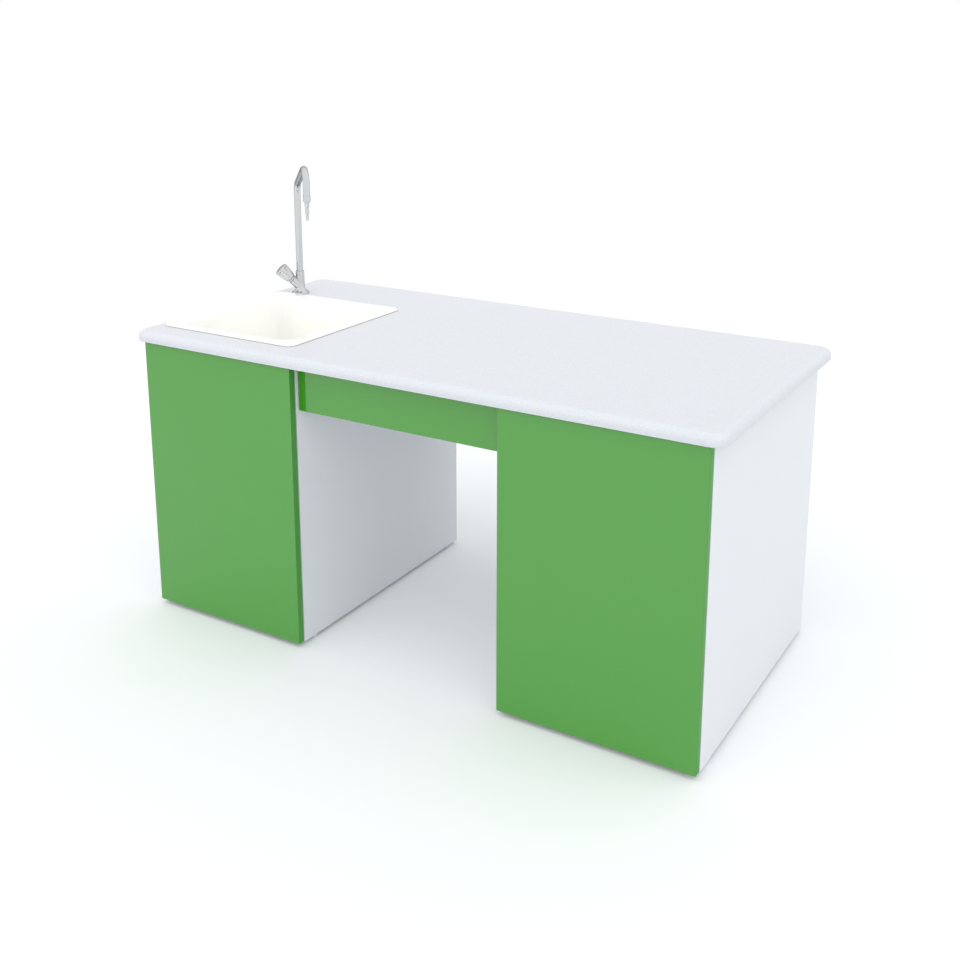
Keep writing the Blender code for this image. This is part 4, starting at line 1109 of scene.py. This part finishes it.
softening = dict(weld=0.00001, width=0.0003, steps=2)
keptFittings = [f"shelf_peg_{number}" for number in range(1, 5)]
for word in ("left", "right"):
    keptFittings += [f"runner_{word}_{part}" for part in ("fixed", "moving")]
    keptFittings += [f"{word}_{label}_hinge_arm" for label in ("lower", "upper")]


def dressFittings():
    for name in keptFittings:
        item = nodes[name]
        item.material_slots[0].material = zincSteel
        item.modifiers.new("weld", "WELD").merge_threshold = softening["weld"]
        soften = item.modifiers.new("soft edges", "BEVEL")
        soften.width = softening["width"]
        soften.segments = softening["steps"]
        soften.limit_method = "ANGLE"
        item.modifiers.new("even normals", "WEIGHTED_NORMAL")


dressFittings()
print("fittings dressed")


# Studio

studio = dict(
    floorRadius=14.0, floorSides=96, floorColour=(0.626, 0.626, 0.626, 1.0),
    floorSeen=(0.892, 0.909, 0.917, 1.0), floorLift=0.055, fadeStart=1.6, fadeEnd=4.5, skyStrength=1.15,
    skyColour=(0.985, 0.992, 1.0, 1.0), brightSide=(0.38, -0.925, 0.0), sideGain=0.38,
)
shot = dict(place=(1.4409, -2.3562, 1.4542), turn=0.5441, tilt=0.2307, lens=44.54, sensor=36, rise=-0.18)


def seenRays(tree):
    # 1 for rays that show the setting itself: straight views, mirror images and views through glass.
    rays = addNode(tree, "LightPath").outputs
    seen = mathNode(tree, "MAXIMUM", rays["Is Camera Ray"], rays["Is Glossy Ray"])
    return mathNode(tree, "MAXIMUM", seen, rays["Is Transmission Ray"])


def mixShaders(tree, factor, first, second, end):
    both = addNode(tree, "MixShader", {0: factor, 1: first.outputs[0], 2: second.outputs[0]})
    tree.links.new(both.outputs[0], tree.nodes[end].inputs["Surface"])


def makeFloor():
    # A pale floor that fades to white far away, and bounces less light than it shows.
    shape = bmesh.new()
    bmesh.ops.create_circle(shape, cap_ends=True, radius=studio["floorRadius"],
                            segments=studio["floorSides"])
    material = bpy.data.materials.new("paleFloor")
    material.use_nodes = True
    tree = material.node_tree
    tree.nodes.remove(tree.nodes["Principled BSDF"])
    seen = seenRays(tree)
    shade = mixColour(tree, seen, studio["floorColour"], studio["floorSeen"])
    matt = addNode(tree, "BsdfDiffuse", {"Color": shade})
    strength = mathNode(tree, "MULTIPLY", seen, studio["floorLift"])
    lift = addNode(tree, "Emission", {"Color": white, "Strength": strength})
    near = addNode(tree, "AddShader", {0: matt.outputs[0], 1: lift.outputs[0]})
    far = addNode(tree, "Emission", {"Color": white, "Strength": 1.0})
    reach = addNode(tree, "VectorMath", {0: objectPlace(tree)}, operation="LENGTH")
    away = remap(tree, reach.outputs["Value"], studio["fadeStart"], studio["fadeEnd"])
    mixShaders(tree, mathNode(tree, "MULTIPLY", away, seen), near, far, "Material Output")
    looseObject("studioFloor", shape, [material])


def makeSky():
    # A sky that is brighter in front and to the right, as by one very wide soft lamp.
    world = bpy.data.worlds.new("studioSky")
    scene.world = world
    world.use_nodes = True
    tree = world.node_tree
    light = tree.nodes["Background"]
    light.inputs["Color"].default_value = studio["skyColour"]
    ray = addNode(tree, "TexCoord").outputs["Generated"]
    lean = addNode(tree, "VectorMath", {0: ray, 1: studio["brightSide"]}, operation="DOT_PRODUCT")
    gain = mathNode(tree, "MULTIPLY", lean.outputs["Value"], studio["sideGain"])
    level = mathNode(tree, "MULTIPLY", mathNode(tree, "ADD", gain, 1.0), studio["skyStrength"])
    tree.links.new(level, light.inputs["Strength"])
    shown = addNode(tree, "Background", {"Color": white, "Strength": 1.0})
    mixShaders(tree, seenRays(tree), light, shown, "World Output")


def makeCamera():
    lens = bpy.data.cameras.new("shotCamera")
    lens.sensor_width = shot["sensor"]
    lens.lens = shot["lens"]
    lens.shift_y = shot["rise"]
    camera = bpy.data.objects.new("shotCamera", lens)
    camera.location = shot["place"]
    camera.rotation_euler = (pi / 2 - shot["tilt"], 0, shot["turn"])
    scene.collection.objects.link(camera)
    scene.camera = camera


makeFloor()
makeSky()
makeCamera()
scene.view_settings.view_transform = "Standard"
print("studio made")
